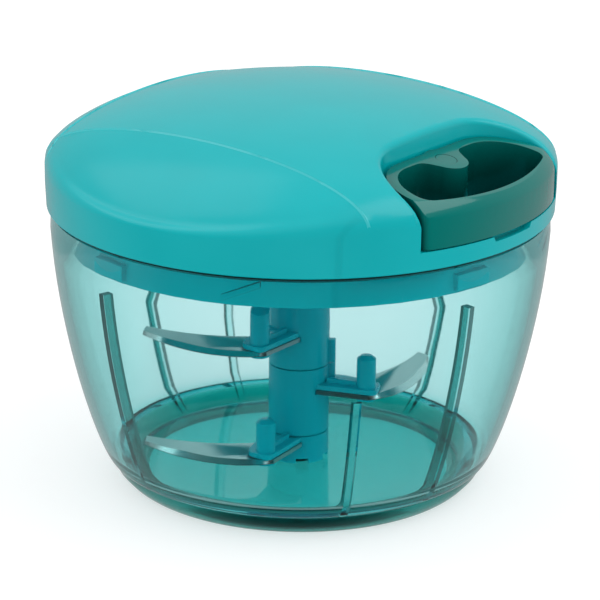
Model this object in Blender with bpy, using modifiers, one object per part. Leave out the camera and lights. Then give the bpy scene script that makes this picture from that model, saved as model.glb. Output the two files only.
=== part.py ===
"""Pull-cord food chopper: a clear bowl, a stacked column with three curved blades, and a domed lid
that holds a cord reel, its recoil spring and the pull handle.

Metres, +Z up. The origin is at the middle of the base. The handle pulls out along +X.
"""

import math

import bmesh
import bpy
from mathutils import Matrix, Vector

MM = 0.001

# Bowl
BOWL_HEIGHT = 68.0 * MM
BOWL_RIM_RADIUS = 60.6 * MM
BOWL_SHOULDER_RADIUS = 46.6 * MM
BOWL_SHOULDER_Z = 5.5 * MM
BOWL_WALL = 2.1 * MM
BOWL_FLOOR_Z = 3.2 * MM
BOWL_BELLY_LOW = (2.1 * MM, -0.5 * MM)
BOWL_BELLY_HIGH = (0.8 * MM, 31.0 * MM)
BOWL_FOOT_STEP = 2.5 * MM
BOWL_FOOT_RADIUS = BOWL_SHOULDER_RADIUS - BOWL_FOOT_STEP
RIB_WIDTH = 1.8 * MM
RIB_DEPTH = 2.4 * MM
RIB_TOP_Z = BOWL_HEIGHT - 11.0 * MM
SHORT_RIB_TOP_Z = BOWL_HEIGHT - 30.0 * MM
RIB_ANGLES = (-104.0, -10.0, 80.0, 172.0)
SHORT_RIB_ANGLES = (-39.0, 149.0)
FOOT_BASE_RADIUS = BOWL_FOOT_RADIUS - 1.9 * MM
FOOT_BEARING_WIDTH = 4.7 * MM
FOOT_BORE_RADIUS = FOOT_BASE_RADIUS - FOOT_BEARING_WIDTH
FOOT_LIP = 0.6 * MM

# Blade column
PIN_RADIUS = 2.0 * MM
PIN_TOP_Z = 24.0 * MM
PIN_BOSS_RADIUS = 4.6 * MM
PIN_BOSS_TOP_Z = 6.0 * MM
COLUMN_RADIUS = 7.45 * MM
COLUMN_BOTTOM_Z = 3.8 * MM
COLUMN_TOP_Z = BOWL_HEIGHT - 11.0 * MM
SEAM_LOW_Z = 10.8 * MM
SEAM_HIGH_Z = 28.0 * MM
STEM_FLATS = 8.6 * MM
STEM_BOTTOM_Z = 8.0 * MM
SOCKET_DEPTH = 11.0 * MM
SOCKET_BOTTOM_Z = COLUMN_TOP_Z - SOCKET_DEPTH
SHAFT_FLATS = 8.0 * MM

# Blades: the height of each, the direction of its arm, and the side that it sweeps to
BLADE_THICKNESS = 1.0 * MM
BLADE_BEVEL = 1.7 * MM
BLADE_LAND = 0.15 * MM
BLADE_REACH = 27.8 * MM
BLADE_SWEEP = 28.5 * MM
BLADE_ROOT_WIDTH = 9.2 * MM
BLADE_CORNER = 19.0 * MM
BLADES = {
    "lower": (8.8 * MM, -84.0, -1),
    "middle": (22.0 * MM, 20.0, 1),
    "upper": (36.0 * MM, -90.0, -1),
}
ARM_THICKNESS = 1.2 * MM
ARM_LENGTH = 20.8 * MM
POST_REACH = 17.6 * MM
POST_RADIUS = 2.35 * MM
POST_HEIGHT = 8.0 * MM
WEB_WIDTH = 1.4 * MM
WEB_HEIGHT = 1.1 * MM
FIN_ANGLE = 33.0
FIN_REACH = 1.5 * MM
FIN_TOP_Z = 34.0 * MM
RIVET_RADIUS = 1.5 * MM
RIVET_HEAD = 0.8 * MM

# Lid
LID_OVERHANG = 0.9 * MM
LID_RADIUS = BOWL_RIM_RADIUS + LID_OVERHANG
LID_EDGE_Z = BOWL_HEIGHT + 1.0 * MM
LID_SIDE_HEIGHT = 10.5 * MM
LID_SHOULDER_Z = LID_EDGE_Z + LID_SIDE_HEIGHT
LID_DOME_HEIGHT = 17.0 * MM
LID_TOP_Z = LID_SHOULDER_Z + LID_DOME_HEIGHT
LID_WALL = 2.2 * MM
DOME_POWER = 0.55
FACET_DEPTH = 23.1 * MM
FACET_CHORD = LID_RADIUS - FACET_DEPTH
FACET_DROP = 6.6 * MM
SKIRT_CLEARANCE = 2.2 * MM
SKIRT_RADIUS = BOWL_RIM_RADIUS - BOWL_WALL - SKIRT_CLEARANCE
SKIRT_DEPTH = 6.9 * MM
SKIRT_BOTTOM_Z = BOWL_HEIGHT - SKIRT_DEPTH
PLATE_Z = SKIRT_BOTTOM_Z + 5.1 * MM
PLATE_THICKNESS = 2.2 * MM
COLLAR_RADIUS = 9.5 * MM
LUG_COUNT = 4
SCREW_CIRCLE = LID_RADIUS - 13.5 * MM
SCREW_ANGLES = (70.0, 130.0, 230.0, 290.0)
SCREW_BOSS_RADIUS = 3.2 * MM
SCREW_RADIUS = 1.4 * MM
SCREW_HEAD_RADIUS = 2.9 * MM

# Handle and its pocket
POCKET_FLOOR_Z = LID_EDGE_Z + 4.5 * MM
POCKET_DEPTH = 25.3 * MM
POCKET_INNER_X = LID_RADIUS - POCKET_DEPTH
POCKET_HALF_WIDTH = 28.0 * MM
POCKET_CORNER = 15.0 * MM
HANDLE_GAP = 1.2 * MM
HANDLE_WALL = 2.6 * MM
HANDLE_FRONT_CORNER = 4.5 * MM
HANDLE_BOSS_RADIUS = 4.6 * MM
HANDLE_FRONT_Z = LID_SHOULDER_Z + 3.5 * MM
HANDLE_TOP_FALL = 0.2
SCOOP_RADIUS = 8.0 * MM
SCOOP_DEPTH = 1.2 * MM

# Drive, reel and spring
BUSH_WALL = 1.4 * MM
JOURNAL_RADIUS = 4.9 * MM
RUNNING_GAP = 0.08 * MM
WHEEL_RADIUS = 11.0 * MM
WHEEL_TEETH = 12
WHEEL_THICKNESS = 2.4 * MM
REEL_ROOM = 6.0 * MM
REEL_FLANGE_RADIUS = POCKET_INNER_X - LID_WALL - REEL_ROOM
REEL_CORD_DEPTH = 10.0 * MM
REEL_CORE_RADIUS = REEL_FLANGE_RADIUS - REEL_CORD_DEPTH
REEL_CORE_WALL = 1.8 * MM
REEL_CUP_RADIUS = REEL_CORE_RADIUS - REEL_CORE_WALL
REEL_BOTTOM_Z = LID_EDGE_Z + 4.5 * MM
REEL_HEIGHT = 10.6 * MM
REEL_TOP_Z = REEL_BOTTOM_Z + REEL_HEIGHT
REEL_FLANGE = 1.3 * MM
AXLE_RADIUS = 2.5 * MM
AXLE_TOP_Z = LID_TOP_Z - 4.5 * MM
SPRING_TURNS = 6
SPRING_THICKNESS = 0.4 * MM
SPRING_WIDTH = 4.8 * MM
CORD_RADIUS = 0.9 * MM
CORD_TURNS = 2
CORD_PITCH = 2.3 * MM
CORD_Z = REEL_BOTTOM_Z + 5.1 * MM

GAP = 0.3 * MM
ROUND_STEPS = 48
SMALL_STEPS = 24

TEAL = (0.012, 0.43, 0.44)
DARK_TEAL = (0.008, 0.17, 0.16)
COLUMN_TEAL = (0.005, 0.21, 0.23)
CLEAR_TEAL = (0.30, 0.72, 0.70)
STEEL = (0.62, 0.63, 0.63)
DARK_GREY = (0.05, 0.05, 0.05)
WHITE = (0.80, 0.80, 0.78)


def clear_scene():
    for obj in list(bpy.data.objects):
        bpy.data.objects.remove(obj)


clear_scene()
parts = bpy.data.collections.new("food_chopper")
cutters = bpy.data.collections.new("food_chopper_cutters")
bpy.context.scene.collection.children.link(parts)
bpy.context.scene.collection.children.link(cutters)
cutters.hide_render = True


def material(name, colour, roughness, metallic=0.0, alpha=1.0):
    made = bpy.data.materials.new(name)
    made.use_nodes = True
    shader = made.node_tree.nodes["Principled BSDF"]
    shader.inputs["Base Color"].default_value = (*colour, 1.0)
    shader.inputs["Roughness"].default_value = roughness
    shader.inputs["Metallic"].default_value = metallic
    shader.inputs["Alpha"].default_value = alpha
    made.diffuse_color = (*colour, alpha)
    return made


def place(obj, looks):
    """Looks is the node's material settings; None makes the object a hidden cutter."""
    if looks is None:
        cutters.objects.link(obj)
        obj.hide_render = True
        obj.display_type = "WIRE"
        return obj
    parts.objects.link(obj)
    if not obj.data.materials:
        obj.data.materials.append(material(obj.name + "_finish", *looks))
    return obj


def mesh_object(name, bm, looks):
    mesh = bpy.data.meshes.new(name)
    bm.normal_update()
    bm.to_mesh(mesh)
    bm.free()
    mesh.shade_smooth()
    mesh.set_sharp_from_angle(angle=math.radians(35))
    return place(bpy.data.objects.new(name, mesh), looks)


def turned(name, profile, looks, steps=ROUND_STEPS):
    """A profile of (radius, height) points, down the outside and up the inside, turned about Z."""
    bm = bmesh.new()
    points = [bm.verts.new((radius, 0.0, height)) for radius, height in profile]
    closed = profile[0][0] > 0 or profile[-1][0] > 0
    for first, second in zip(points, points[1:]):
        bm.edges.new((first, second))
    if closed:
        bm.edges.new((points[-1], points[0]))
    obj = mesh_object(name, bm, looks)
    screw = obj.modifiers.new("turn", "SCREW")
    screw.axis = "Z"
    screw.steps = steps
    screw.render_steps = steps
    screw.use_merge_vertices = True
    screw.merge_threshold = 0.000001
    screw.use_smooth_shade = True
    return obj


def as_mesh(obj):
    """The object with its modifiers or its curve made into a plain mesh of the same name."""
    graph = bpy.context.evaluated_depsgraph_get()
    mesh = bpy.data.meshes.new_from_object(obj.evaluated_get(graph))
    bm = bmesh.new()
    bm.from_mesh(mesh)
    bmesh.ops.remove_doubles(bm, verts=bm.verts, dist=0.000001)
    bmesh.ops.recalc_face_normals(bm, faces=bm.faces)
    bm.to_mesh(mesh)
    bm.free()
    mesh.shade_smooth()
    mesh.set_sharp_from_angle(angle=math.radians(35))
    name = obj.name
    home = obj.users_collection[0]
    made = bpy.data.objects.new(name + "_mesh", mesh)
    made.matrix_basis = obj.matrix_basis.copy()
    made.hide_render = obj.hide_render
    made.display_type = obj.display_type
    home.objects.link(made)
    bpy.data.objects.remove(obj)
    made.name = name
    return made


def extruded(name, outline, bottom, top, looks):
    """A flat outline, filled and extruded from one height to another."""
    curve = bpy.data.curves.new(name, "CURVE")
    curve.dimensions = "2D"
    curve.fill_mode = "BOTH"
    curve.extrude = (top - bottom) / 2
    spline = curve.splines.new("POLY")
    spline.points.add(len(outline) - 1)
    for point, (x, y) in zip(spline.points, outline):
        point.co = (x, y, 0.0, 1.0)
    spline.use_cyclic_u = True
    obj = place(bpy.data.objects.new(name, curve), looks)
    obj.location = (0.0, 0.0, (top + bottom) / 2)
    bpy.context.view_layer.update()
    return as_mesh(obj)


def cylinder(name, radius, bottom, top, looks, centre=(0.0, 0.0), steps=SMALL_STEPS, end_radius=None):
    bm = bmesh.new()
    bmesh.ops.create_cone(
        bm,
        cap_ends=True,
        segments=steps,
        radius1=radius,
        radius2=radius if end_radius is None else end_radius,
        depth=top - bottom,
    )
    obj = mesh_object(name, bm, looks)
    obj.location = (centre[0], centre[1], (top + bottom) / 2)
    return obj


def hexagon(name, flats, bottom, top, looks):
    return cylinder(name, flats / math.sqrt(3), bottom, top, looks, steps=6)


def box(name, low, high, looks):
    bm = bmesh.new()
    bmesh.ops.create_cube(bm, size=1.0)
    size = [b - a for a, b in zip(low, high)]
    bmesh.ops.scale(bm, vec=size, verts=bm.verts)
    centre = [(a + b) / 2 for a, b in zip(low, high)]
    bmesh.ops.translate(bm, vec=centre, verts=bm.verts)
    return mesh_object(name, bm, looks)


def boolean(target, tool, operation):
    modifier = target.modifiers.new(f"{operation.lower()}_{tool.name}", "BOOLEAN")
    modifier.operation = operation
    modifier.object = tool
    modifier.solver = "EXACT"


def cut(target, *tools):
    for tool in tools:
        boolean(target, tool, "DIFFERENCE")


def join(target, *tools):
    for tool in tools:
        boolean(target, tool, "UNION")


def turn_about_z(obj, degrees):
    obj.matrix_basis = Matrix.Rotation(math.radians(degrees), 4, "Z") @ obj.matrix_basis


def arc(centre, radius, start, end, count):
    """Points on an arc, angles in degrees."""
    angles = [math.radians(start + (end - start) * i / (count - 1)) for i in range(count)]
    return [(centre[0] + radius * math.cos(a), centre[1] + radius * math.sin(a)) for a in angles]


def rounded(corners, steps=6):
    """An outline whose corners (x, y, radius) are filleted."""
    outline = []
    for i, (x, y, radius) in enumerate(corners):
        here = Vector((x, y))
        if radius == 0:
            outline.append((x, y))
            continue
        before = (Vector(corners[i - 1][:2]) - here).normalized()
        after = (Vector(corners[(i + 1) % len(corners)][:2]) - here).normalized()
        half = before.angle(after) / 2
        middle = here + (before + after).normalized() * (radius / math.sin(half))
        start = here + before * (radius / math.tan(half)) - middle
        end = here + after * (radius / math.tan(half)) - middle
        sweep = start.angle_signed(end)
        for k in range(steps + 1):
            spoke = Matrix.Rotation(-sweep * k / steps, 2) @ start
            outline.append(tuple(middle + spoke))
    return outline


def curve_between(points, count):
    """Points on the cubic curve with these four control points."""
    made = []
    for i in range(count):
        t = i / (count - 1)
        weights = ((1 - t) ** 3, 3 * t * (1 - t) ** 2, 3 * t * t * (1 - t), t**3)
        made.append(tuple(sum(w * p[k] for w, p in zip(weights, points)) for k in (0, 1)))
    return made


# The bowl: one curved wall from the foot to the rim
CLEAR = (CLEAR_TEAL, 0.08, 0.0, 0.35)


def bowl_wall(inset, count=10):
    """Outer wall for no inset, from the shoulder up to the rim."""
    low = (BOWL_SHOULDER_RADIUS - inset, BOWL_SHOULDER_Z)
    high = (BOWL_RIM_RADIUS - inset, BOWL_HEIGHT)
    control_low = (low[0] + BOWL_BELLY_LOW[0], low[1] + BOWL_BELLY_LOW[1])
    control_high = (high[0] - BOWL_BELLY_HIGH[0], high[1] - BOWL_BELLY_HIGH[1])
    return curve_between((low, control_low, control_high, high), count)


def bowl_radius_at(height, inset):
    wall = bowl_wall(inset, 60)
    for (r0, z0), (r1, z1) in zip(wall, wall[1:]):
        if z1 >= height:
            return r0 + (r1 - r0) * (height - z0) / (z1 - z0)
    return wall[-1][0]


bowl_underside_z = FOOT_LIP + GAP
inner_wall = [p for p in bowl_wall(BOWL_WALL) if p[1] > BOWL_FLOOR_Z + 5 * MM]
floor_edge = (inner_wall[0][0] - 8.5 * MM, BOWL_FLOOR_Z)
corner_low = (inner_wall[0][0] - 5.8 * MM, BOWL_FLOOR_Z + 0.2 * MM)
corner_high = (inner_wall[0][0] - 3.0 * MM, inner_wall[0][1] - 2.0 * MM)
corner = curve_between((floor_edge, corner_low, corner_high, inner_wall[0]), 6)[:-1]
foot_top = (BOWL_FOOT_RADIUS, BOWL_SHOULDER_Z)
foot_mid = (BOWL_FOOT_RADIUS - 1.3 * MM, 2.4 * MM)
foot_low = (BOWL_FOOT_RADIUS - 3.3 * MM, bowl_underside_z)
bowl_profile = [(0.0, BOWL_FLOOR_Z)] + corner + inner_wall + bowl_wall(0.0)[::-1]
bowl_profile += [foot_top, foot_mid, foot_low, (0.0, bowl_underside_z)]
bowl = as_mesh(turned("bowl", bowl_profile, CLEAR))


def radial_plate(name, outline, width, degrees, looks):
    """A plate of (radius, height) outline that stands in the plane through the axis."""
    plate = extruded(name, outline, -width / 2, width / 2, looks)
    plate.matrix_basis = Matrix.Rotation(math.radians(90), 4, "X")
    turn_about_z(plate, degrees)
    return plate


def rib_outline(top):
    start = BOWL_SHOULDER_Z + 4 * MM
    heights = [start + (top - start) * i / 6 for i in range(7)]
    outer = [(bowl_radius_at(z, BOWL_WALL / 2), z) for z in heights]
    inner = [(bowl_radius_at(z, BOWL_WALL + RIB_DEPTH), z - RIB_DEPTH * (z == top)) for z in heights]
    foot_z = (BOWL_FLOOR_Z + bowl_underside_z) / 2
    foot = [(floor_edge[0], foot_z), (floor_edge[0] + 2.5 * MM, foot_z)]
    return foot + outer + inner[::-1]


for number, degrees in enumerate(RIB_ANGLES):
    join(bowl, radial_plate(f"rib_{number}", rib_outline(RIB_TOP_Z), RIB_WIDTH, degrees, None))
for number, degrees in enumerate(SHORT_RIB_ANGLES):
    join(bowl, radial_plate(f"short_rib_{number}", rib_outline(SHORT_RIB_TOP_Z), RIB_WIDTH, degrees, None))

pin_boss = cylinder("pin_boss", PIN_BOSS_RADIUS, BOWL_FLOOR_Z - 1.0 * MM, PIN_BOSS_TOP_Z, None)
join(bowl, pin_boss)
pin_seat_z = bowl_underside_z + 0.8 * MM
cut(bowl, cylinder("pin_seat", PIN_RADIUS + GAP / 2, pin_seat_z, PIN_BOSS_TOP_Z + 5 * MM, None))

# Bayonet ramps inside the rim, a quarter turn apart
RAMP_ANGLE = -66.0
RAMP_LENGTH = 9.0 * MM
RAMP_THICKNESS = 1.5 * MM
RAMP_Z = BOWL_HEIGHT - 3.2 * MM
ramp_low_radius = SKIRT_RADIUS + GAP
for number in range(LUG_COUNT):
    ramp = box(
        f"ramp_{number}",
        (ramp_low_radius, -RAMP_LENGTH / 2, -RAMP_THICKNESS / 2),
        (BOWL_RIM_RADIUS - BOWL_WALL / 2, RAMP_LENGTH / 2, RAMP_THICKNESS / 2),
        None,
    )
    ramp.matrix_basis = Matrix.Translation((0, 0, RAMP_Z)) @ Matrix.Rotation(math.radians(22), 4, "X")
    turn_about_z(ramp, RAMP_ANGLE + 360 / LUG_COUNT * number)
    join(bowl, ramp)

# Foot ring, pressed on the bowl's foot
foot_ring = turned(
    "foot_ring",
    [
        (BOWL_SHOULDER_RADIUS - 0.6 * MM, BOWL_SHOULDER_Z - GAP),
        (BOWL_SHOULDER_RADIUS - 1.4 * MM, 2.9 * MM),
        (FOOT_BASE_RADIUS + 1.2 * MM, 0.9 * MM),
        (FOOT_BASE_RADIUS, 0.0),
        (FOOT_BORE_RADIUS, 0.0),
        (FOOT_BORE_RADIUS, FOOT_LIP),
        (foot_low[0] + GAP / 2, FOOT_LIP),
        (foot_mid[0] + GAP, foot_mid[1] - GAP / 2),
        (foot_top[0] + GAP, BOWL_SHOULDER_Z - GAP),
    ],
    ((0.02, 0.33, 0.33), 0.35, 0.0, 0.7),
)

# Steel pin that the column turns on
centre_pin = turned(
    "centre_pin",
    [
        (0.0, PIN_TOP_Z),
        (PIN_RADIUS - 0.6 * MM, PIN_TOP_Z - 0.2 * MM),
        (PIN_RADIUS, PIN_TOP_Z - 1.0 * MM),
        (PIN_RADIUS, pin_seat_z + GAP),
        (0.0, pin_seat_z + GAP),
    ],
    (STEEL, 0.2, 1.0),
    SMALL_STEPS,
)

# Blade column: three stacked carriers, keyed by the upper one's hexagonal stem
COLUMN = (COLUMN_TEAL, 0.3)
stem_gap = GAP * 2
carrier_span = {
    "lower": (COLUMN_BOTTOM_Z, SEAM_LOW_Z - GAP / 2),
    "middle": (SEAM_LOW_Z + GAP / 2, SEAM_HIGH_Z - GAP / 2),
    "upper": (SEAM_HIGH_Z + GAP / 2, COLUMN_TOP_Z),
}


def blade_outline():
    """Seen from above with the arm along +X and the sweep towards +Y: cutting edge, tip, back."""
    root_x = COLUMN_RADIUS - 1.6 * MM
    half = BLADE_ROOT_WIDTH / 2
    edge = curve_between(
        (
            (BLADE_CORNER, -half),
            (BLADE_REACH - 1.0 * MM, -half + 5.5 * MM),
            (BLADE_REACH + 2.0 * MM, BLADE_SWEEP - 15.0 * MM),
            (BLADE_REACH - 2.0 * MM, BLADE_SWEEP),
        ),
        11,
    )
    back = curve_between(
        (
            (BLADE_REACH - 5.2 * MM, BLADE_SWEEP + 1.6 * MM),
            (BLADE_REACH - 6.5 * MM, BLADE_SWEEP - 10.0 * MM),
            (BLADE_CORNER - 2.5 * MM, half + 5.0 * MM),
            (BLADE_CORNER - 7.5 * MM, half),
        ),
        9,
    )
    return [(root_x, -half)] + edge + back + [(root_x, half)], len(edge)


def bevelled_blade(name, height, side, looks):
    """A flat plate whose cutting edge is ground down from the upper face."""
    outline, edge_points = blade_outline()
    half = BLADE_THICKNESS / 2
    rings = []
    bm = bmesh.new()
    for z, inset in ((-half, 0.0), (-half + BLADE_LAND, 0.0), (half, BLADE_BEVEL)):
        ring = []
        for i, (x, y) in enumerate(outline):
            if 1 <= i <= edge_points:
                ahead = Vector(outline[i + 1]) - Vector(outline[i - 1])
                along = min((i - 1) / 2.0, 1.0) * min((edge_points - i + 1) / 3.0, 1.0)
                inward = Vector((-ahead.y, ahead.x)).normalized() * inset * along
                x, y = x + inward.x, y + inward.y
            ring.append(bm.verts.new((x, y * side, height + z)))
        rings.append(ring)
    for low, high in zip(rings, rings[1:]):
        for i in range(len(low)):
            j = (i + 1) % len(low)
            bm.faces.new((low[i], low[j], high[j], high[i]))
    bm.faces.new(rings[0])
    bm.faces.new(rings[-1])
    bmesh.ops.recalc_face_normals(bm, faces=bm.faces)
    return mesh_object(name, bm, looks)


carriers = {}
for level, (blade_z, direction, side) in BLADES.items():
    low, high = carrier_span[level]
    carrier = cylinder(f"carrier_{level}", COLUMN_RADIUS, low, high, COLUMN, steps=40)
    carriers[level] = carrier
    blade_top = blade_z + BLADE_THICKNESS / 2
    blade_low = blade_z - BLADE_THICKNESS / 2
    arm_low = blade_top + GAP / 2
    arm_top = arm_low + ARM_THICKNESS
    arm_half = BLADE_ROOT_WIDTH / 2 - 0.2 * MM
    arm_start = COLUMN_RADIUS - 1.5 * MM
    arm_outline = rounded(
        [
            (arm_start, -arm_half, 0),
            (ARM_LENGTH, -arm_half, 1.5 * MM),
            (ARM_LENGTH, arm_half - 2.2 * MM, 3.0 * MM),
            (arm_start + 5.0 * MM, arm_half, 4.0 * MM),
            (arm_start, arm_half, 0),
        ]
    )
    if side < 0:
        arm_outline = [(x, -y) for x, y in reversed(arm_outline)]
    post_at = (POST_REACH, -side * 1.4 * MM)
    arm = extruded(f"arm_{level}", arm_outline, arm_low, arm_top, None)
    post_top = arm_top + POST_HEIGHT
    post = cylinder(f"post_{level}", POST_RADIUS, arm_top - 0.4 * MM, post_top - 0.7 * MM, None, post_at)
    post_cap = cylinder(
        f"post_cap_{level}",
        POST_RADIUS,
        post_top - 0.9 * MM,
        post_top,
        None,
        post_at,
        end_radius=POST_RADIUS - 0.9 * MM,
    )
    web = box(
        f"web_{level}",
        (COLUMN_RADIUS + GAP, post_at[1] - WEB_WIDTH / 2, arm_top - 0.4 * MM),
        (POST_REACH, post_at[1] + WEB_WIDTH / 2, arm_top + WEB_HEIGHT),
        None,
    )
    head_top = blade_low - GAP / 2
    rivet_low = head_top - GAP / 2 - 0.3 * MM
    rivet = cylinder(f"rivet_{level}", RIVET_RADIUS, rivet_low, arm_low + 0.4 * MM, None, post_at)
    head_radius = RIVET_RADIUS + 0.9 * MM
    head = cylinder(f"rivet_head_{level}", head_radius, head_top - RIVET_HEAD, head_top, None, post_at)
    slot = box(
        f"slot_{level}",
        (COLUMN_RADIUS - 1.9 * MM, -BLADE_ROOT_WIDTH / 2 - 0.4 * MM, blade_low - GAP / 2),
        (COLUMN_RADIUS + 3 * MM, BLADE_ROOT_WIDTH / 2 + 0.4 * MM, arm_low),
        None,
    )
    for piece in (arm, web, post, post_cap, rivet, head, slot):
        turn_about_z(piece, direction)
    cut(carrier, slot)
    join(carrier, arm, web, post, post_cap, rivet, head)
    blade = bevelled_blade(f"blade_{level}", blade_z, side, (STEEL, 0.22, 1.0))
    hole_ends = (blade_low - 2 * MM, blade_top + 2 * MM)
    hole = cylinder(f"rivet_hole_{level}", RIVET_RADIUS + GAP, *hole_ends, None, post_at)
    turn_about_z(blade, direction)
    turn_about_z(hole, direction)
    cut(blade, hole)

cut(
    carriers["lower"],
    cylinder("boss_room", PIN_BOSS_RADIUS + 0.6 * MM, 0.0, PIN_BOSS_TOP_Z + GAP * 2, None),
    hexagon("stem_bore_lower", STEM_FLATS + stem_gap, PIN_BOSS_TOP_Z, SEAM_LOW_Z + 5 * MM, None),
)
cut(carriers["middle"], hexagon("stem_bore_middle", STEM_FLATS + stem_gap, 0.0, SEAM_HIGH_Z + 5 * MM, None))
join(carriers["upper"], hexagon("stem", STEM_FLATS, STEM_BOTTOM_Z, SEAM_HIGH_Z + 2 * MM, None))
cut(
    carriers["upper"],
    cylinder("pin_bore", PIN_RADIUS + RUNNING_GAP, 0.0, PIN_TOP_Z + 1 * MM, None),
    hexagon("drive_socket", SHAFT_FLATS + stem_gap, SOCKET_BOTTOM_Z, COLUMN_TOP_Z + 5 * MM, None),
)

# Fin up the column over the middle arm, in two lengths that meet at the seam
middle_arm_top = BLADES["middle"][0] + BLADE_THICKNESS / 2 + GAP / 2 + ARM_THICKNESS
for level, low, high in (
    ("middle", middle_arm_top - 0.5 * MM, carrier_span["middle"][1]),
    ("upper", carrier_span["upper"][0], FIN_TOP_Z),
):
    fin = box(
        f"fin_{level}",
        (COLUMN_RADIUS - 1.0 * MM, -WEB_WIDTH / 2, low),
        (COLUMN_RADIUS + FIN_REACH, WEB_WIDTH / 2, high),
        None,
    )
    turn_about_z(fin, FIN_ANGLE)
    join(carriers[level], fin)

# Castellated lower edge of the column
for number in range(3):
    notch = box(
        f"notch_{number}",
        (-COLUMN_RADIUS * 2, -1.6 * MM, COLUMN_BOTTOM_Z - 2 * MM),
        (COLUMN_RADIUS * 2, 1.6 * MM, COLUMN_BOTTOM_Z + 1.2 * MM),
        None,
    )
    turn_about_z(notch, 60 * number + 15)
    cut(carriers["lower"], notch)

# Lid cover: a domed shell with three flatter facets, and a pocket for the handle
LID = (TEAL, 0.32)


def dome_profile(inset, count=12):
    """From the crown down to the shoulder."""
    made = []
    for i in range(count + 1):
        angle = math.radians(90 * i / count)
        radius = (LID_RADIUS - inset) * math.sin(angle)
        rise = (LID_TOP_Z - LID_SHOULDER_Z - inset * 0.6) * max(math.cos(angle), 0.0) ** (2 * DOME_POWER)
        made.append((radius if i else 0.0, LID_SHOULDER_Z - inset * 0.4 + rise))
    return made


def flattened(obj, fall):
    """Beyond each chord of the dome the surface falls away faster, which leaves a crisp crease."""
    made = as_mesh(obj)
    bm = bmesh.new()
    bm.from_mesh(made.data)
    for normal in (Vector((0, -1, 0)), Vector((0, 1, 0)), Vector((-1, 0, 0))):
        everything = bm.verts[:] + bm.edges[:] + bm.faces[:]
        chord = normal * FACET_CHORD
        bmesh.ops.bisect_plane(bm, geom=everything, plane_co=chord, plane_no=normal, dist=0.000001)
        for vert in bm.verts:
            beyond = (vert.co.dot(normal) - FACET_CHORD) / (LID_RADIUS - FACET_CHORD)
            height = (vert.co.z - LID_SHOULDER_Z) / (LID_TOP_Z - LID_SHOULDER_Z)
            bend = max(beyond, 0.0) * (0.35 + 0.65 * max(beyond, 0.0))
            vert.co.z -= fall * bend * min(max(height * 2 + 0.85, 0.0), 1.0)
    bm.to_mesh(made.data)
    bm.free()
    made.data.shade_smooth()
    made.data.set_sharp_from_angle(angle=math.radians(12))
    return made


def pocket_outline(inset, reach):
    """Plan of the handle pocket; a positive inset shrinks it."""
    inner = POCKET_INNER_X + inset
    half = POCKET_HALF_WIDTH - inset
    radius = POCKET_CORNER - inset
    return rounded([(inner, half, radius), (inner, -half, radius), (reach, -half, 0), (reach, half, 0)])


lid_clear = LID_TOP_Z + 13.5 * MM
pocket_reach = LID_RADIUS * 1.5
lid_side = [(LID_RADIUS, LID_EDGE_Z + 6.0 * MM), (LID_RADIUS - 0.3 * MM, LID_EDGE_Z), (0.0, LID_EDGE_Z)]
lid_cover = turned("lid_cover", dome_profile(0.0) + lid_side, LID)
lid_cover = flattened(lid_cover, FACET_DROP)
cavity_side = [(LID_RADIUS - LID_WALL, LID_EDGE_Z - 5 * MM), (0.0, LID_EDGE_Z - 5 * MM)]
cavity = turned("lid_cavity", dome_profile(LID_WALL) + cavity_side, None)
cavity = flattened(cavity, FACET_DROP)
pocket_wall = pocket_outline(-LID_WALL + 0.2 * MM, pocket_reach)
cut(cavity, extruded("pocket_wall", pocket_wall, POCKET_FLOOR_Z - LID_WALL, lid_clear, None))
spring_boss_z = REEL_TOP_Z + 2.2 * MM
cut(cavity, cylinder("axle_boss", AXLE_RADIUS + 2.9 * MM, spring_boss_z, lid_clear, None))
screw_spots = []
for degrees in SCREW_ANGLES:
    angle = math.radians(degrees)
    screw_spots.append((SCREW_CIRCLE * math.cos(angle), SCREW_CIRCLE * math.sin(angle)))
boss_low = PLATE_Z + PLATE_THICKNESS + GAP
screw_top = LID_SHOULDER_Z - 1.5 * MM
for number, spot in enumerate(screw_spots):
    boss = cylinder(f"screw_boss_{number}", SCREW_BOSS_RADIUS, boss_low, lid_clear, None, spot, steps=16)
    cut(cavity, boss)
cut(lid_cover, cavity)
cut(lid_cover, extruded("pocket", pocket_outline(0.0, pocket_reach), POCKET_FLOOR_Z, lid_clear, None))
scoop_at = (LID_RADIUS + 1 * MM, 0.0)
cut(lid_cover, cylinder("scoop", SCOOP_RADIUS, POCKET_FLOOR_Z - SCOOP_DEPTH, lid_clear, None, scoop_at))
cut(lid_cover, cylinder("axle_bore", AXLE_RADIUS + GAP, spring_boss_z - 5 * MM, AXLE_TOP_Z + GAP, None))
for number, spot in enumerate(screw_spots):
    bore_ends = (PLATE_Z - 6 * MM, screw_top + 1 * MM)
    bore = cylinder(f"screw_bore_{number}", SCREW_RADIUS + GAP, *bore_ends, None, spot, steps=12)
    cut(lid_cover, bore)


def across(name, radius, start, end, height, looks, steps=SMALL_STEPS):
    """A cylinder along X."""
    made = cylinder(name, radius, start, end, looks, steps=steps)
    lying = Matrix.Rotation(math.radians(90), 4, "Y")
    made.matrix_basis = Matrix.Translation((0, 0, height)) @ lying @ made.matrix_basis
    return made


GUIDE_BODY_RADIUS = 2.6 * MM
guide_wall = (POCKET_INNER_X - LID_WALL + 0.2 * MM, POCKET_INNER_X)
guide_ends = (guide_wall[0] - 3 * MM, guide_wall[1] + 3 * MM)
cut(lid_cover, across("guide_hole", GUIDE_BODY_RADIUS + GAP, *guide_ends, CORD_Z, None))

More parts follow.
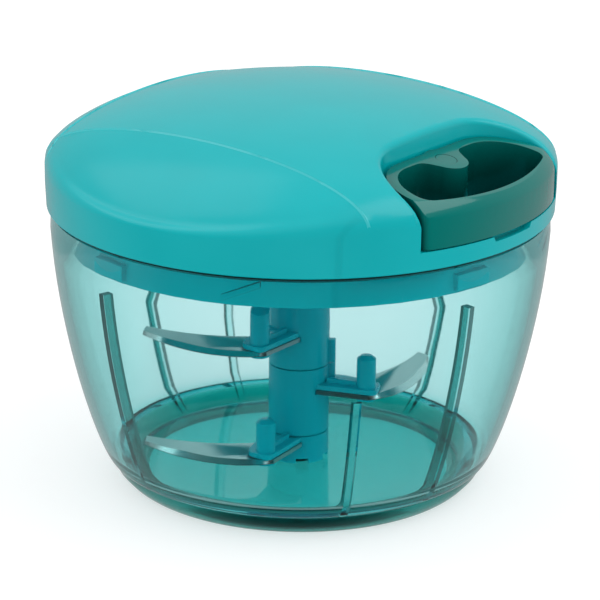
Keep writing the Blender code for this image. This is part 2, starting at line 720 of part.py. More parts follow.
# Lid base: closes the cover and drops a skirt into the bowl
flange_top = LID_EDGE_Z + 1.4 * MM
flange_low = BOWL_HEIGHT + GAP
lid_inner_radius = LID_RADIUS - LID_WALL - GAP
plate_top = PLATE_Z + PLATE_THICKNESS
bush_room = JOURNAL_RADIUS + BUSH_WALL + GAP
skirt_inner = SKIRT_RADIUS - 1.8 * MM
collar_low = SKIRT_BOTTOM_Z + 0.4 * MM
lid_base = turned(
    "lid_base",
    [
        (lid_inner_radius, flange_top),
        (lid_inner_radius, LID_EDGE_Z - GAP),
        (BOWL_RIM_RADIUS - GAP, LID_EDGE_Z - GAP),
        (BOWL_RIM_RADIUS - GAP, flange_low),
        (SKIRT_RADIUS, flange_low),
        (SKIRT_RADIUS, SKIRT_BOTTOM_Z),
        (skirt_inner, SKIRT_BOTTOM_Z),
        (skirt_inner, PLATE_Z),
        (COLLAR_RADIUS, PLATE_Z),
        (COLLAR_RADIUS, collar_low),
        (bush_room, collar_low),
        (bush_room, flange_top),
        (COLLAR_RADIUS, flange_top),
        (COLLAR_RADIUS, plate_top),
        (lid_inner_radius - 2.0 * MM, plate_top),
        (lid_inner_radius - 2.0 * MM, flange_top),
    ],
    ((0.008, 0.30, 0.31), 0.35),
)
LUG_ANGLE = -101.0
LUG_LENGTH = 9.6 * MM
LUG_LOW_Z = SKIRT_BOTTOM_Z + 0.9 * MM
LUG_HEIGHT = 3.6 * MM
for number in range(LUG_COUNT):
    lug = box(
        f"lug_{number}",
        (SKIRT_RADIUS - 1.0 * MM, -LUG_LENGTH / 2, LUG_LOW_Z),
        (BOWL_RIM_RADIUS - BOWL_WALL - GAP * 4, LUG_LENGTH / 2, LUG_LOW_Z + LUG_HEIGHT),
        None,
    )
    turn_about_z(lug, LUG_ANGLE + 360 / LUG_COUNT * number)
    join(lid_base, lug)

# Screws through the lid base into the cover
for number, spot in enumerate(screw_spots):
    hole_ends = (PLATE_Z - 6 * MM, screw_top)
    hole = cylinder(f"plate_hole_{number}", SCREW_RADIUS + GAP, *hole_ends, None, spot, steps=12)
    cut(lid_base, hole)
    screw = turned(
        f"lid_screw_{number + 1}",
        [
            (0.0, screw_top),
            (SCREW_RADIUS * 0.4, screw_top),
            (SCREW_RADIUS, screw_top - 2.0 * MM),
            (SCREW_RADIUS, PLATE_Z - GAP),
            (SCREW_HEAD_RADIUS, PLATE_Z - GAP),
            (SCREW_HEAD_RADIUS, PLATE_Z - 1.4 * MM),
            (SCREW_HEAD_RADIUS * 0.7, PLATE_Z - 2.1 * MM),
            (0.0, PLATE_Z - 2.2 * MM),
        ],
        (STEEL, 0.35, 1.0),
        14,
    )
    screw.location = (spot[0], spot[1], 0.0)

# Drive shaft, its bush and the ratchet wheel
wheel_low = flange_top + GAP
wheel_top = wheel_low + WHEEL_THICKNESS
journal_low = collar_low - 0.9 * MM
axle_low = PLATE_Z - 0.2 * MM
drive_shaft = cylinder("drive_shaft", JOURNAL_RADIUS, journal_low, wheel_low - GAP / 2, (DARK_TEAL, 0.35))
join(
    drive_shaft,
    hexagon("shaft_hexagon", SHAFT_FLATS, SOCKET_BOTTOM_Z + 2 * MM, collar_low, None),
    hexagon("wheel_seat", SHAFT_FLATS - 0.4 * MM, wheel_low - 1 * MM, wheel_top - GAP / 2, None),
)
cut(drive_shaft, cylinder("axle_socket", AXLE_RADIUS + GAP / 2, axle_low, wheel_top + 8 * MM, None))
shaft_bush = turned(
    "shaft_bush",
    [
        (JOURNAL_RADIUS + BUSH_WALL, flange_top - GAP),
        (JOURNAL_RADIUS + BUSH_WALL, collar_low - GAP),
        (COLLAR_RADIUS - 0.8 * MM, collar_low - GAP),
        (COLLAR_RADIUS - 0.8 * MM, collar_low - GAP - 0.7 * MM),
        (JOURNAL_RADIUS + RUNNING_GAP, collar_low - GAP - 0.7 * MM),
        (JOURNAL_RADIUS + RUNNING_GAP, flange_top - GAP),
    ],
    (WHITE, 0.4),
    SMALL_STEPS,
)
tooth_depth = 1.6 * MM
teeth = []
for number in range(WHEEL_TEETH):
    start = 360 / WHEEL_TEETH * number
    teeth += arc((0, 0), WHEEL_RADIUS - tooth_depth, start - 2.5, start, 2)
    teeth += arc((0, 0), WHEEL_RADIUS, start + 0.5, start + 2.5, 2)
ratchet_wheel = extruded("ratchet_wheel", teeth, wheel_low, wheel_top, (WHITE, 0.4))
cut(ratchet_wheel, hexagon("wheel_bore", SHAFT_FLATS - 0.4 * MM + stem_gap / 2, wheel_low - 8 * MM, wheel_top + 8 * MM, None))

# Cord reel: two flanges, a core and a cup for the spring
cup_floor = REEL_BOTTOM_Z + 1.7 * MM
cord_reel = turned(
    "cord_reel",
    [
        (REEL_FLANGE_RADIUS, REEL_TOP_Z),
        (REEL_FLANGE_RADIUS, REEL_TOP_Z - REEL_FLANGE),
        (REEL_CORE_RADIUS, REEL_TOP_Z - REEL_FLANGE),
        (REEL_CORE_RADIUS, REEL_BOTTOM_Z + REEL_FLANGE),
        (REEL_FLANGE_RADIUS, REEL_BOTTOM_Z + REEL_FLANGE),
        (REEL_FLANGE_RADIUS, REEL_BOTTOM_Z),
        (AXLE_RADIUS + RUNNING_GAP, REEL_BOTTOM_Z),
        (AXLE_RADIUS + RUNNING_GAP, cup_floor + 1.6 * MM),
        (AXLE_RADIUS + 1.8 * MM, cup_floor + 1.6 * MM),
        (AXLE_RADIUS + 1.8 * MM, cup_floor),
        (REEL_CUP_RADIUS, cup_floor),
        (REEL_CUP_RADIUS, REEL_TOP_Z),
    ],
    (WHITE, 0.4),
)
PAWL_CIRCLE = WHEEL_RADIUS + 8.0 * MM
PAWL_PIN_RADIUS = 1.4 * MM
for number in (0, 1):
    pin_ends = (wheel_low + GAP, REEL_BOTTOM_Z + 0.6 * MM)
    pin = cylinder(f"pawl_pin_{number}", PAWL_PIN_RADIUS, *pin_ends, None, (PAWL_CIRCLE, 0.0), steps=16)
    turn_about_z(pin, 180 * number)
    join(cord_reel, pin)
    pawl_outline = arc((PAWL_CIRCLE, 0.0), 2.9 * MM, -150, 40, 9)
    pawl_outline += [(PAWL_CIRCLE - 2.0 * MM, 5.0 * MM), (WHEEL_RADIUS - 0.3 * MM, 5.2 * MM)]
    pawl_outline += [(WHEEL_RADIUS - 0.1 * MM, 3.4 * MM)]
    pawl = extruded(f"clutch_pawl_{number + 1}", pawl_outline, wheel_low + GAP, wheel_top - GAP, (DARK_GREY, 0.45))
    bore_ends = (wheel_low - 8 * MM, wheel_top + 8 * MM)
    bore = cylinder(f"pawl_bore_{number}", PAWL_PIN_RADIUS + GAP / 2, *bore_ends, None, (PAWL_CIRCLE, 0.0), steps=16)
    turn_about_z(pawl, 180 * number)
    turn_about_z(bore, 180 * number)
    cut(pawl, bore)

reel_axle = turned(
    "reel_axle",
    [
        (0.0, AXLE_TOP_Z),
        (AXLE_RADIUS - 0.5 * MM, AXLE_TOP_Z),
        (AXLE_RADIUS, AXLE_TOP_Z - 0.6 * MM),
        (AXLE_RADIUS, axle_low + GAP),
        (0.0, axle_low + GAP),
    ],
    (STEEL, 0.2, 1.0),
    SMALL_STEPS,
)
arbor_radius = AXLE_RADIUS + 1.8 * MM
spring_arbor = turned(
    "spring_arbor",
    [
        (arbor_radius, spring_boss_z - GAP),
        (arbor_radius, cup_floor + 1.6 * MM + GAP),
        (AXLE_RADIUS + GAP, cup_floor + 1.6 * MM + GAP),
        (AXLE_RADIUS + GAP, spring_boss_z - GAP),
    ],
    (WHITE, 0.4),
    SMALL_STEPS,
)
spring_lid = REEL_TOP_Z - 1.2 * MM
spring_low = spring_lid - GAP - SPRING_WIDTH
spring_start = arbor_radius + GAP + SPRING_THICKNESS / 2
spring_end = REEL_CUP_RADIUS - GAP - SPRING_THICKNESS / 2


def spiral(offset):
    count = SPRING_TURNS * 20
    made = []
    for i in range(count + 1):
        angle = 2 * math.pi * SPRING_TURNS * i / count
        radius = spring_start + (spring_end - spring_start) * i / count + offset
        made.append((radius * math.cos(angle), radius * math.sin(angle)))
    return made


strip = spiral(SPRING_THICKNESS / 2) + spiral(-SPRING_THICKNESS / 2)[::-1]
recoil_spring = extruded("recoil_spring", strip, spring_low, spring_low + SPRING_WIDTH, (STEEL, 0.3, 1.0))
spring_cover = turned(
    "spring_cover",
    [
        (REEL_CUP_RADIUS - GAP / 2, REEL_TOP_Z),
        (REEL_CUP_RADIUS - GAP / 2, spring_lid),
        (arbor_radius + GAP, spring_lid),
        (arbor_radius + GAP, REEL_TOP_Z),
    ],
    (DARK_GREY, 0.45),
    SMALL_STEPS,
)

# Cord: wound on the reel, then through the guide to the handle
wound_radius = REEL_CORE_RADIUS + GAP + CORD_RADIUS
guide_x = guide_wall[0] - 1.0 * MM
leave_angle = -math.acos(wound_radius / guide_x)
winding_z = REEL_BOTTOM_Z + REEL_FLANGE + GAP + CORD_RADIUS
leave_way = Vector((-math.sin(leave_angle), math.cos(leave_angle), 0.0))
CORD = ((0.75, 0.75, 0.72), 0.8)


def tube(name, points, radius, looks, thick_end=1.0):
    curve = bpy.data.curves.new(name, "CURVE")
    curve.dimensions = "3D"
    curve.bevel_depth = radius
    curve.bevel_resolution = 1
    curve.use_fill_caps = True
    spline = curve.splines.new("POLY")
    spline.points.add(len(points) - 1)
    for point, place_at in zip(spline.points, points):
        point.co = (*place_at, 1.0)
    for point in spline.points[-3:]:
        point.radius = thick_end
    return place(bpy.data.objects.new(name, curve), looks)


coil = []
steps = 24 * CORD_TURNS
for i in range(steps + 1):
    angle = leave_angle - 2 * math.pi * CORD_TURNS * (1 - i / steps)
    height = winding_z + CORD_PITCH * CORD_TURNS * i / steps
    coil.append(Vector((wound_radius * math.cos(angle), wound_radius * math.sin(angle), height)))
coil.append(coil[-1] + leave_way * 2 * CORD_RADIUS)
cord_winding = tube("cord_winding", coil, CORD_RADIUS, CORD)
samples = [a.lerp(b, k / 6) for a, b in zip(coil, coil[1:]) for k in range(6)]
half_turn = 6 * 12
nearest = min((a - b).length for i, a in enumerate(samples) for b in samples[i + half_turn :])
print(f"least gap of the winding to itself: {(nearest - 2 * CORD_RADIUS) / MM:.2f} mm")

lead_start = coil[-1] + leave_way * GAP
lead_in = Vector((guide_x, 0.0, CORD_Z))
boss_x = POCKET_INNER_X + HANDLE_GAP + HANDLE_BOSS_RADIUS
lead = []
for i in range(10):
    t = i / 9
    pull = (lead_start, lead_start + leave_way * 7 * MM, lead_in - Vector((6 * MM, 0, 0)), lead_in)
    weights = ((1 - t) ** 3, 3 * t * (1 - t) ** 2, 3 * t * t * (1 - t), t**3)
    lead.append(sum((p * w for p, w in zip(pull, weights)), Vector()))
knot = (boss_x - 1.6 * MM, boss_x - 1.2 * MM, boss_x + 0.4 * MM, boss_x + 0.9 * MM)
lead += [Vector((x, 0.0, CORD_Z)) for x in (guide_x + 3 * MM, *knot)]
pull_cord = tube("pull_cord", lead, CORD_RADIUS, CORD, thick_end=1.8)

# Eyelet in the pocket wall
eyelet = turned(
    "cord_guide",
    [
        (GUIDE_BODY_RADIUS + 1.1 * MM, guide_wall[1] + GAP + 0.6 * MM),
        (GUIDE_BODY_RADIUS + 1.1 * MM, guide_wall[1] + GAP),
        (GUIDE_BODY_RADIUS, guide_wall[1] + GAP),
        (GUIDE_BODY_RADIUS, guide_wall[0] - GAP),
        (GUIDE_BODY_RADIUS + 1.1 * MM, guide_wall[0] - GAP),
        (GUIDE_BODY_RADIUS + 1.1 * MM, guide_wall[0] - GAP - 0.6 * MM),
        (CORD_RADIUS + GAP, guide_wall[0] - GAP - 0.6 * MM),
        (CORD_RADIUS + GAP, guide_wall[1] + GAP + 0.6 * MM),
    ],
    (STEEL, 0.25, 1.0),
    20,
)
eyelet.matrix_basis = Matrix.Translation((0, 0, CORD_Z)) @ Matrix.Rotation(math.radians(90), 4, "Y")

# Pull handle: a ring that lies flush in the pocket
HANDLE = (DARK_TEAL, 0.22)
handle_low = POCKET_FLOOR_Z + GAP
handle_front = LID_RADIUS - 0.2 * MM


def handle_outline(inset, front, front_corner):
    inner = POCKET_INNER_X + HANDLE_GAP + inset
    half = POCKET_HALF_WIDTH - HANDLE_GAP - inset
    radius = POCKET_CORNER - HANDLE_GAP - inset
    reach = math.sqrt(front**2 - half**2)
    spread = math.degrees(math.asin(half / front))
    bow = arc((0, 0), front, -spread + 4, spread - 4, 9)
    corners = [(inner, half, radius), (inner, -half, radius), (reach, -half, front_corner)]
    corners += [(x, y, 0) for x, y in bow]
    corners += [(reach, half, front_corner)]
    return rounded(corners)


handle_tall = LID_TOP_Z - 2.5 * MM
handle_plan = handle_outline(0.0, handle_front, 2.6 * MM)
pull_handle = extruded("pull_handle", handle_plan, handle_low, handle_tall + 1 * MM, HANDLE)
finger_plan = handle_outline(HANDLE_WALL, handle_front - HANDLE_WALL, 2.0 * MM)
cut(pull_handle, extruded("finger_gap", finger_plan, LID_EDGE_Z - 9 * MM, lid_clear, None))
join(pull_handle, cylinder("cord_boss", HANDLE_BOSS_RADIUS, handle_low, handle_tall, None, (boss_x, 0.0)))
envelope = turned(
    "handle_envelope",
    [(r, z - GAP) for r, z in dome_profile(0.0)] + [(LID_RADIUS, LID_EDGE_Z + 1 * MM), (0.0, LID_EDGE_Z + 1 * MM)],
    None,
)
boolean(pull_handle, envelope, "INTERSECT")
top_slope = math.atan(HANDLE_TOP_FALL)
above = box("above_handle", (-60 * MM, -50 * MM, 0.0), (60 * MM, 50 * MM, 30 * MM), None)
above.matrix_basis = Matrix.Translation((LID_RADIUS, 0, HANDLE_FRONT_Z)) @ Matrix.Rotation(top_slope, 4, "Y")
cut(pull_handle, above)
knot_room = 2.6 * MM
cut(pull_handle, cylinder("knot_room", knot_room, CORD_Z - 2.4 * MM, lid_clear, None, (boss_x, 0.0)))
cut(pull_handle, across("cord_hole", CORD_RADIUS + GAP, POCKET_INNER_X - 2 * MM, boss_x, CORD_Z, None, 16))

plug_top = HANDLE_FRONT_Z + (LID_RADIUS - boss_x - knot_room) * HANDLE_TOP_FALL - GAP
cord_knot_plug = turned(
    "cord_knot_plug",
    [
        (0.0, plug_top),
        (knot_room - 0.8 * MM, plug_top),
        (knot_room - GAP / 2, plug_top - 0.6 * MM),
        (knot_room - GAP / 2, CORD_Z + 2.2 * MM),
        (0.0, CORD_Z + 2.2 * MM),
    ],
    HANDLE,
    20,
)
cord_knot_plug.location = (boss_x, 0.0, 0.0)
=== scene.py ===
import math

import bmesh
import bpy
from mathutils import Matrix, Vector


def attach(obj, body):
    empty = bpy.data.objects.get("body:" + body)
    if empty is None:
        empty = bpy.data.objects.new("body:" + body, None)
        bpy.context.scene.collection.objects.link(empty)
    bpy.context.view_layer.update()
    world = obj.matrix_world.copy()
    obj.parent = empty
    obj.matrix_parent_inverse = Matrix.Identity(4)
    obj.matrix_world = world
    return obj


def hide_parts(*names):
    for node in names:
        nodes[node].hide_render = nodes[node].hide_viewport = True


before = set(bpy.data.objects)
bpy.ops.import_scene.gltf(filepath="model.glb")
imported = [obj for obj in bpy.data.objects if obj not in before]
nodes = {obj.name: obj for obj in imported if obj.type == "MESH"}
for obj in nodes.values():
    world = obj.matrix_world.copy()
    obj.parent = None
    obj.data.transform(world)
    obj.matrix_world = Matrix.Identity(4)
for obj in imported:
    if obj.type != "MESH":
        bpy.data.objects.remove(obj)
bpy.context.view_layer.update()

# The view, the light and the table
# The chopper stands on a white table in a white tent, seen from a little above
# with a long lens. Two soft boxes over it, right and left, model the lid.
MM = 0.001
VIEW_AZIMUTH = 37.0
VIEW_ELEVATION = 18.83
VIEW_ROLL = 0.59
VIEW_DISTANCE = 700 * MM
VIEW_TARGET = (0.07 * MM, 0.0, 43.42 * MM)
VIEW_LENS = 171.8
SENSOR_WIDTH = 36.0
TENT_LEVEL = 0.97
TABLE_GLOW = 0.56
TABLE_BOUNCE = 1.1

# How bright mirrors see the room: the wall behind the chopper, the room behind the
# camera, the ceiling, and the gain and the least level for rays within clear plastic.
MIRRORED_WALL = 0.5
MIRRORED_ROOM = 0.02
MIRRORED_CEILING = 0.7
WITHIN_GAIN = 1.8
WITHIN_LEAST = 0.08


def linear(hex_colour):
    """An sRGB hex colour as linear red, green, blue and alpha."""
    parts = [int(hex_colour[i : i + 2], 16) / 255 for i in (1, 3, 5)]
    return (*(c / 12.92 if c <= 0.04045 else ((c + 0.055) / 1.055) ** 2.4 for c in parts), 1.0)


def add(tree, kind, inputs=None, **settings):
    """Adds one node. Inputs holds values, or the sockets to link from."""
    made = tree.nodes.new(kind)
    for name, value in settings.items():
        setattr(made, name, value)
    for name, value in (inputs or {}).items():
        if isinstance(value, bpy.types.NodeSocket):
            tree.links.new(value, made.inputs[name])
        else:
            made.inputs[name].default_value = value
    return made


def seen_directly(tree):
    """1 for what the camera sees, straight or through clear plastic, and 0 for mirror images."""
    path = add(tree, "ShaderNodeLightPath")
    through = {0: path.outputs["Is Camera Ray"], 1: path.outputs["Is Transmission Ray"]}
    straight = add(tree, "ShaderNodeMath", through, operation="MAXIMUM")
    depth = {0: path.outputs["Glossy Depth"], 1: 0.5}
    unmirrored = add(tree, "ShaderNodeMath", depth, operation="LESS_THAN")
    both = {0: straight.outputs[0], 1: unmirrored.outputs[0]}
    return add(tree, "ShaderNodeMath", both, operation="MULTIPLY").outputs[0]


def lights_only(tree, path):
    """1 for the rays that carry soft light and shadow, and 0 for the others."""
    either_ray = {0: path.outputs["Is Diffuse Ray"], 1: path.outputs["Is Shadow Ray"]}
    return add(tree, "ShaderNodeMath", either_ray, operation="MAXIMUM").outputs[0]


def wall_level(tree, direction, sign):
    """What a mirror sees this way: white walls behind the chopper, a dark room behind the camera."""
    front = math.radians(VIEW_AZIMUTH - 90)
    toward = {0: direction, 1: (sign * math.cos(front), sign * math.sin(front), 0.0)}
    facing = add(tree, "ShaderNodeVectorMath", toward, operation="DOT_PRODUCT")
    spread = {"Value": facing.outputs["Value"], "From Min": -0.5, "From Max": 0.6}
    spread.update({"To Min": MIRRORED_WALL, "To Max": MIRRORED_ROOM})
    return add(tree, "ShaderNodeMapRange", spread, interpolation_type="SMOOTHSTEP").outputs[0]


camera = bpy.data.objects.new("camera", bpy.data.cameras.new("camera"))
camera.data.lens = VIEW_LENS
camera.data.sensor_width = SENSOR_WIDTH
camera.data.clip_start = 0.01
camera.matrix_world = (
    Matrix.Rotation(math.radians(VIEW_AZIMUTH), 4, "Z")
    @ Matrix.Translation(VIEW_TARGET)
    @ Matrix.Rotation(math.radians(90 - VIEW_ELEVATION), 4, "X")
    @ Matrix.Rotation(math.radians(VIEW_ROLL), 4, "Z")
    @ Matrix.Translation((0, 0, VIEW_DISTANCE))
)
bpy.context.scene.collection.objects.link(camera)
bpy.context.scene.camera = camera
bpy.context.scene.view_settings.view_transform = "Standard"

world = bpy.data.worlds.new("white_tent")
bpy.context.scene.world = world
world.use_nodes = True
world.cycles.sampling_method = "NONE"
sky = world.node_tree
sky.nodes.clear()
place = add(sky, "ShaderNodeTexCoord")
upward = add(sky, "ShaderNodeSeparateXYZ", {"Vector": place.outputs["Generated"]})
ceiling = {"Value": upward.outputs["Z"], "From Min": 0.2, "From Max": 0.9, "To Max": MIRRORED_CEILING}
overhead = add(sky, "ShaderNodeMapRange", ceiling, interpolation_type="SMOOTHSTEP")
brighter = {0: overhead.outputs[0], 1: wall_level(sky, place.outputs["Generated"], 1)}
mirrored_level = add(sky, "ShaderNodeMath", brighter, operation="MAXIMUM")
path = add(sky, "ShaderNodeLightPath")
entered = {"Value": path.outputs["Transmission Depth"]}
gain = add(sky, "ShaderNodeMapRange", {**entered, "To Min": 1.0, "To Max": WITHIN_GAIN})
least = add(sky, "ShaderNodeMapRange", {**entered, "To Max": WITHIN_LEAST})
brighter = {0: mirrored_level.outputs[0], 1: gain.outputs[0], 2: least.outputs[0]}
raised = add(sky, "ShaderNodeMath", brighter, operation="MULTIPLY_ADD")
paper_white = linear("#ffffff")
mirrored = add(sky, "ShaderNodeBackground", {"Color": paper_white, "Strength": raised.outputs[0]})
tent = add(sky, "ShaderNodeBackground", {"Color": paper_white, "Strength": TENT_LEVEL})
white = add(sky, "ShaderNodeBackground", {"Color": paper_white, "Strength": 1.0})
room = {0: lights_only(sky, path), 1: mirrored.outputs[0], 2: tent.outputs[0]}
lighting = add(sky, "ShaderNodeMixShader", room)
backdrop = {0: seen_directly(sky), 1: lighting.outputs[0], 2: white.outputs[0]}
either = add(sky, "ShaderNodeMixShader", backdrop)
add(sky, "ShaderNodeOutputWorld", {"Surface": either.outputs[0]})

BOX_SIZE = 0.6
BOX_HEIGHT = 0.8
BOX_DISTANCE = 0.5
BOX_AIM = Vector((0, 0, 0.05))
for name, azimuth, power in (("box_over_right", 20, 1.6), ("box_over_left", 200, 0.8)):
    lamp = bpy.data.objects.new(name, bpy.data.lights.new(name, "AREA"))
    lamp.data.size = BOX_SIZE
    lamp.data.energy = power
    angle = math.radians(azimuth)
    lamp.location = (BOX_DISTANCE * math.cos(angle), BOX_DISTANCE * math.sin(angle), BOX_HEIGHT)
    lamp.rotation_euler = (BOX_AIM - lamp.location).to_track_quat("-Z", "Y").to_euler()
    bpy.context.scene.collection.objects.link(lamp)

table_mesh = bmesh.new()
bmesh.ops.create_grid(table_mesh, x_segments=1, y_segments=1, size=3.0)
table_data = bpy.data.meshes.new("table")
table_mesh.to_mesh(table_data)
table = bpy.data.objects.new("table", table_data)
table.location = (0, 0, -0.05 * MM)
bpy.context.scene.collection.objects.link(table)
white_card = bpy.data.materials.new("white_card")
white_card.use_nodes = True
tree = white_card.node_tree
tree.nodes.clear()
paper = add(tree, "ShaderNodeBsdfDiffuse", {"Color": linear("#bebebe")})
glow = add(tree, "ShaderNodeEmission", {"Color": paper_white, "Strength": TABLE_GLOW})
lit = add(tree, "ShaderNodeAddShader", {0: paper.outputs[0], 1: glow.outputs[0]})
arrival = add(tree, "ShaderNodeNewGeometry").outputs["Incoming"]
dim_level = wall_level(tree, arrival, -1)
dim = add(tree, "ShaderNodeEmission", {"Color": paper_white, "Strength": dim_level})
path = add(tree, "ShaderNodeLightPath")
bounce = add(tree, "ShaderNodeEmission", {"Color": paper_white, "Strength": TABLE_BOUNCE})
under = {0: lights_only(tree, path), 1: dim.outputs[0], 2: bounce.outputs[0]}
unseen = add(tree, "ShaderNodeMixShader", under)
surface = {0: seen_directly(tree), 1: unseen.outputs[0], 2: lit.outputs[0]}
seen = add(tree, "ShaderNodeMixShader", surface)
add(tree, "ShaderNodeOutputMaterial", {"Surface": seen.outputs[0]})
table_data.materials.append(white_card)

# Bowl
# One injection moulding in clear teal-tinted styrene acrylonitrile, open at the top.
# Ribs run up the inner wall, and short ramps under the rim take the lid's lugs.
BOWL_HEIGHT = 68.0 * MM
BOWL_RIM = 60.6 * MM
BOWL_SHOULDER = (46.6 * MM, 5.5 * MM)
BOWL_WALL = 2.1 * MM
BOWL_FLOOR = 3.2 * MM
BOWL_UNDERSIDE = 0.9 * MM
RIB_TINT = "#4fb0ad"
RIB_WIDTH = 1.8 * MM
RIB_DEPTH = 2.4 * MM
LONG_RIB_TOP = 57 * MM
SHORT_RIB_TOP = 38 * MM
RAMP_RADIUS = 57.7 * MM
RAMP_HEIGHT = 64.8 * MM
ROUND = 160


def curve_between(points, count):
    """Points on the cubic curve with these four control points."""
    made = []
    for i in range(count):
        t = i / (count - 1)
        weights = ((1 - t) ** 3, 3 * t * (1 - t) ** 2, 3 * t * t * (1 - t), t**3)
        made.append(tuple(sum(w * p[k] for w, p in zip(weights, points)) for k in (0, 1)))
    return made


def bowl_wall(inset, count=22):
    """The wall's line from the shoulder up to the rim, outer for no inset."""
    low = (BOWL_SHOULDER[0] - inset, BOWL_SHOULDER[1])
    high = (BOWL_RIM - inset, BOWL_HEIGHT)
    outward = (low[0] + 2.1 * MM, low[1] - 0.5 * MM)
    upward = (high[0] - 0.8 * MM, high[1] - 31 * MM)
    return curve_between((low, outward, upward, high), count)


def mesh_piece(name, bm, material, sharp=35.0):
    """An object from a bmesh, with smooth faces between sharp edges."""
    bmesh.ops.recalc_face_normals(bm, faces=bm.faces)
    data = bpy.data.meshes.new(name)
    bm.to_mesh(data)
    bm.free()
    data.shade_smooth()
    data.set_sharp_from_angle(angle=math.radians(sharp))
    piece = bpy.data.objects.new(name, data)
    bpy.context.scene.collection.objects.link(piece)
    if material:
        data.materials.append(material)
    return piece


def turned(name, profile, material, steps=ROUND):
    """A profile of (radius, height) turned about Z. It closes on itself, or ends on the axis."""
    bm = bmesh.new()
    closed = profile[0][0] > 1e-9 or profile[-1][0] > 1e-9
    rings = []
    for radius, height in profile:
        if radius < 1e-9:
            rings.append([bm.verts.new((0.0, 0.0, height))])
            continue
        turn = [2 * math.pi * i / steps for i in range(steps)]
        rings.append([bm.verts.new((radius * math.cos(a), radius * math.sin(a), height)) for a in turn])
    pairs = list(zip(rings, rings[1:])) + ([(rings[-1], rings[0])] if closed else [])
    for first, second in pairs:
        for i in range(steps):
            j = (i + 1) % steps
            near = [first[i % len(first)], first[j % len(first)]]
            far = [second[j % len(second)], second[i % len(second)]]
            corners = list(dict.fromkeys(near + far))
            if len(corners) > 2:
                bm.faces.new(corners)
    return mesh_piece(name, bm, material)


def post(name, radius, low, high, steps=48, material=None):
    """A round post or bore on the axis."""
    return turned(name, [(0, high), (radius, high), (radius, low), (0, low)], material, steps)


def softened(profile, corners, steps=3):
    """The profile with the points numbered in corners cut back by (point, radius)."""
    made = []
    for i, point in enumerate(profile):
        radius = corners.get(i)
        if not radius:
            made.append(point)
            continue
        here = Vector(point)
        before = (Vector(profile[i - 1]) - here).normalized() * radius
        after = (Vector(profile[(i + 1) % len(profile)]) - here).normalized() * radius
        for k in range(steps + 1):
            t = k / steps
            made.append(tuple(here + before * (1 - t) ** 2 + after * t**2))
    return made


def as_plain(piece):
    """The piece with its modifiers applied, as a plain mesh of the same name."""
    graph = bpy.context.evaluated_depsgraph_get()
    data = bpy.data.meshes.new_from_object(piece.evaluated_get(graph))
    data.transform(piece.matrix_world)
    name = piece.name
    made = bpy.data.objects.new(name + "_plain", data)
    bpy.context.scene.collection.objects.link(made)
    bpy.data.objects.remove(piece)
    made.name = name
    return made


def carve(piece, tools, operation):
    """Cuts with, or adds, closed tools, and removes them."""
    for tool in tools:
        modifier = piece.modifiers.new("carve", "BOOLEAN")
        modifier.operation = operation
        modifier.object = tool
        modifier.solver = "EXACT"
        bpy.context.view_layer.update()
        piece = as_plain(piece)
        bpy.data.objects.remove(tool)
    return piece


def flat_shape(name, outline, low, high, material=None):
    """A closed outline raised from one height to another."""
    bm = bmesh.new()
    base = [bm.verts.new((x, y, low)) for x, y in outline]
    lid = [bm.verts.new((x, y, high)) for x, y in outline]
    bm.faces.new(base)
    bm.faces.new(lid)
    for i in range(len(base)):
        j = (i + 1) % len(base)
        bm.faces.new((base[i], base[j], lid[j], lid[i]))
    return mesh_piece(name, bm, material)


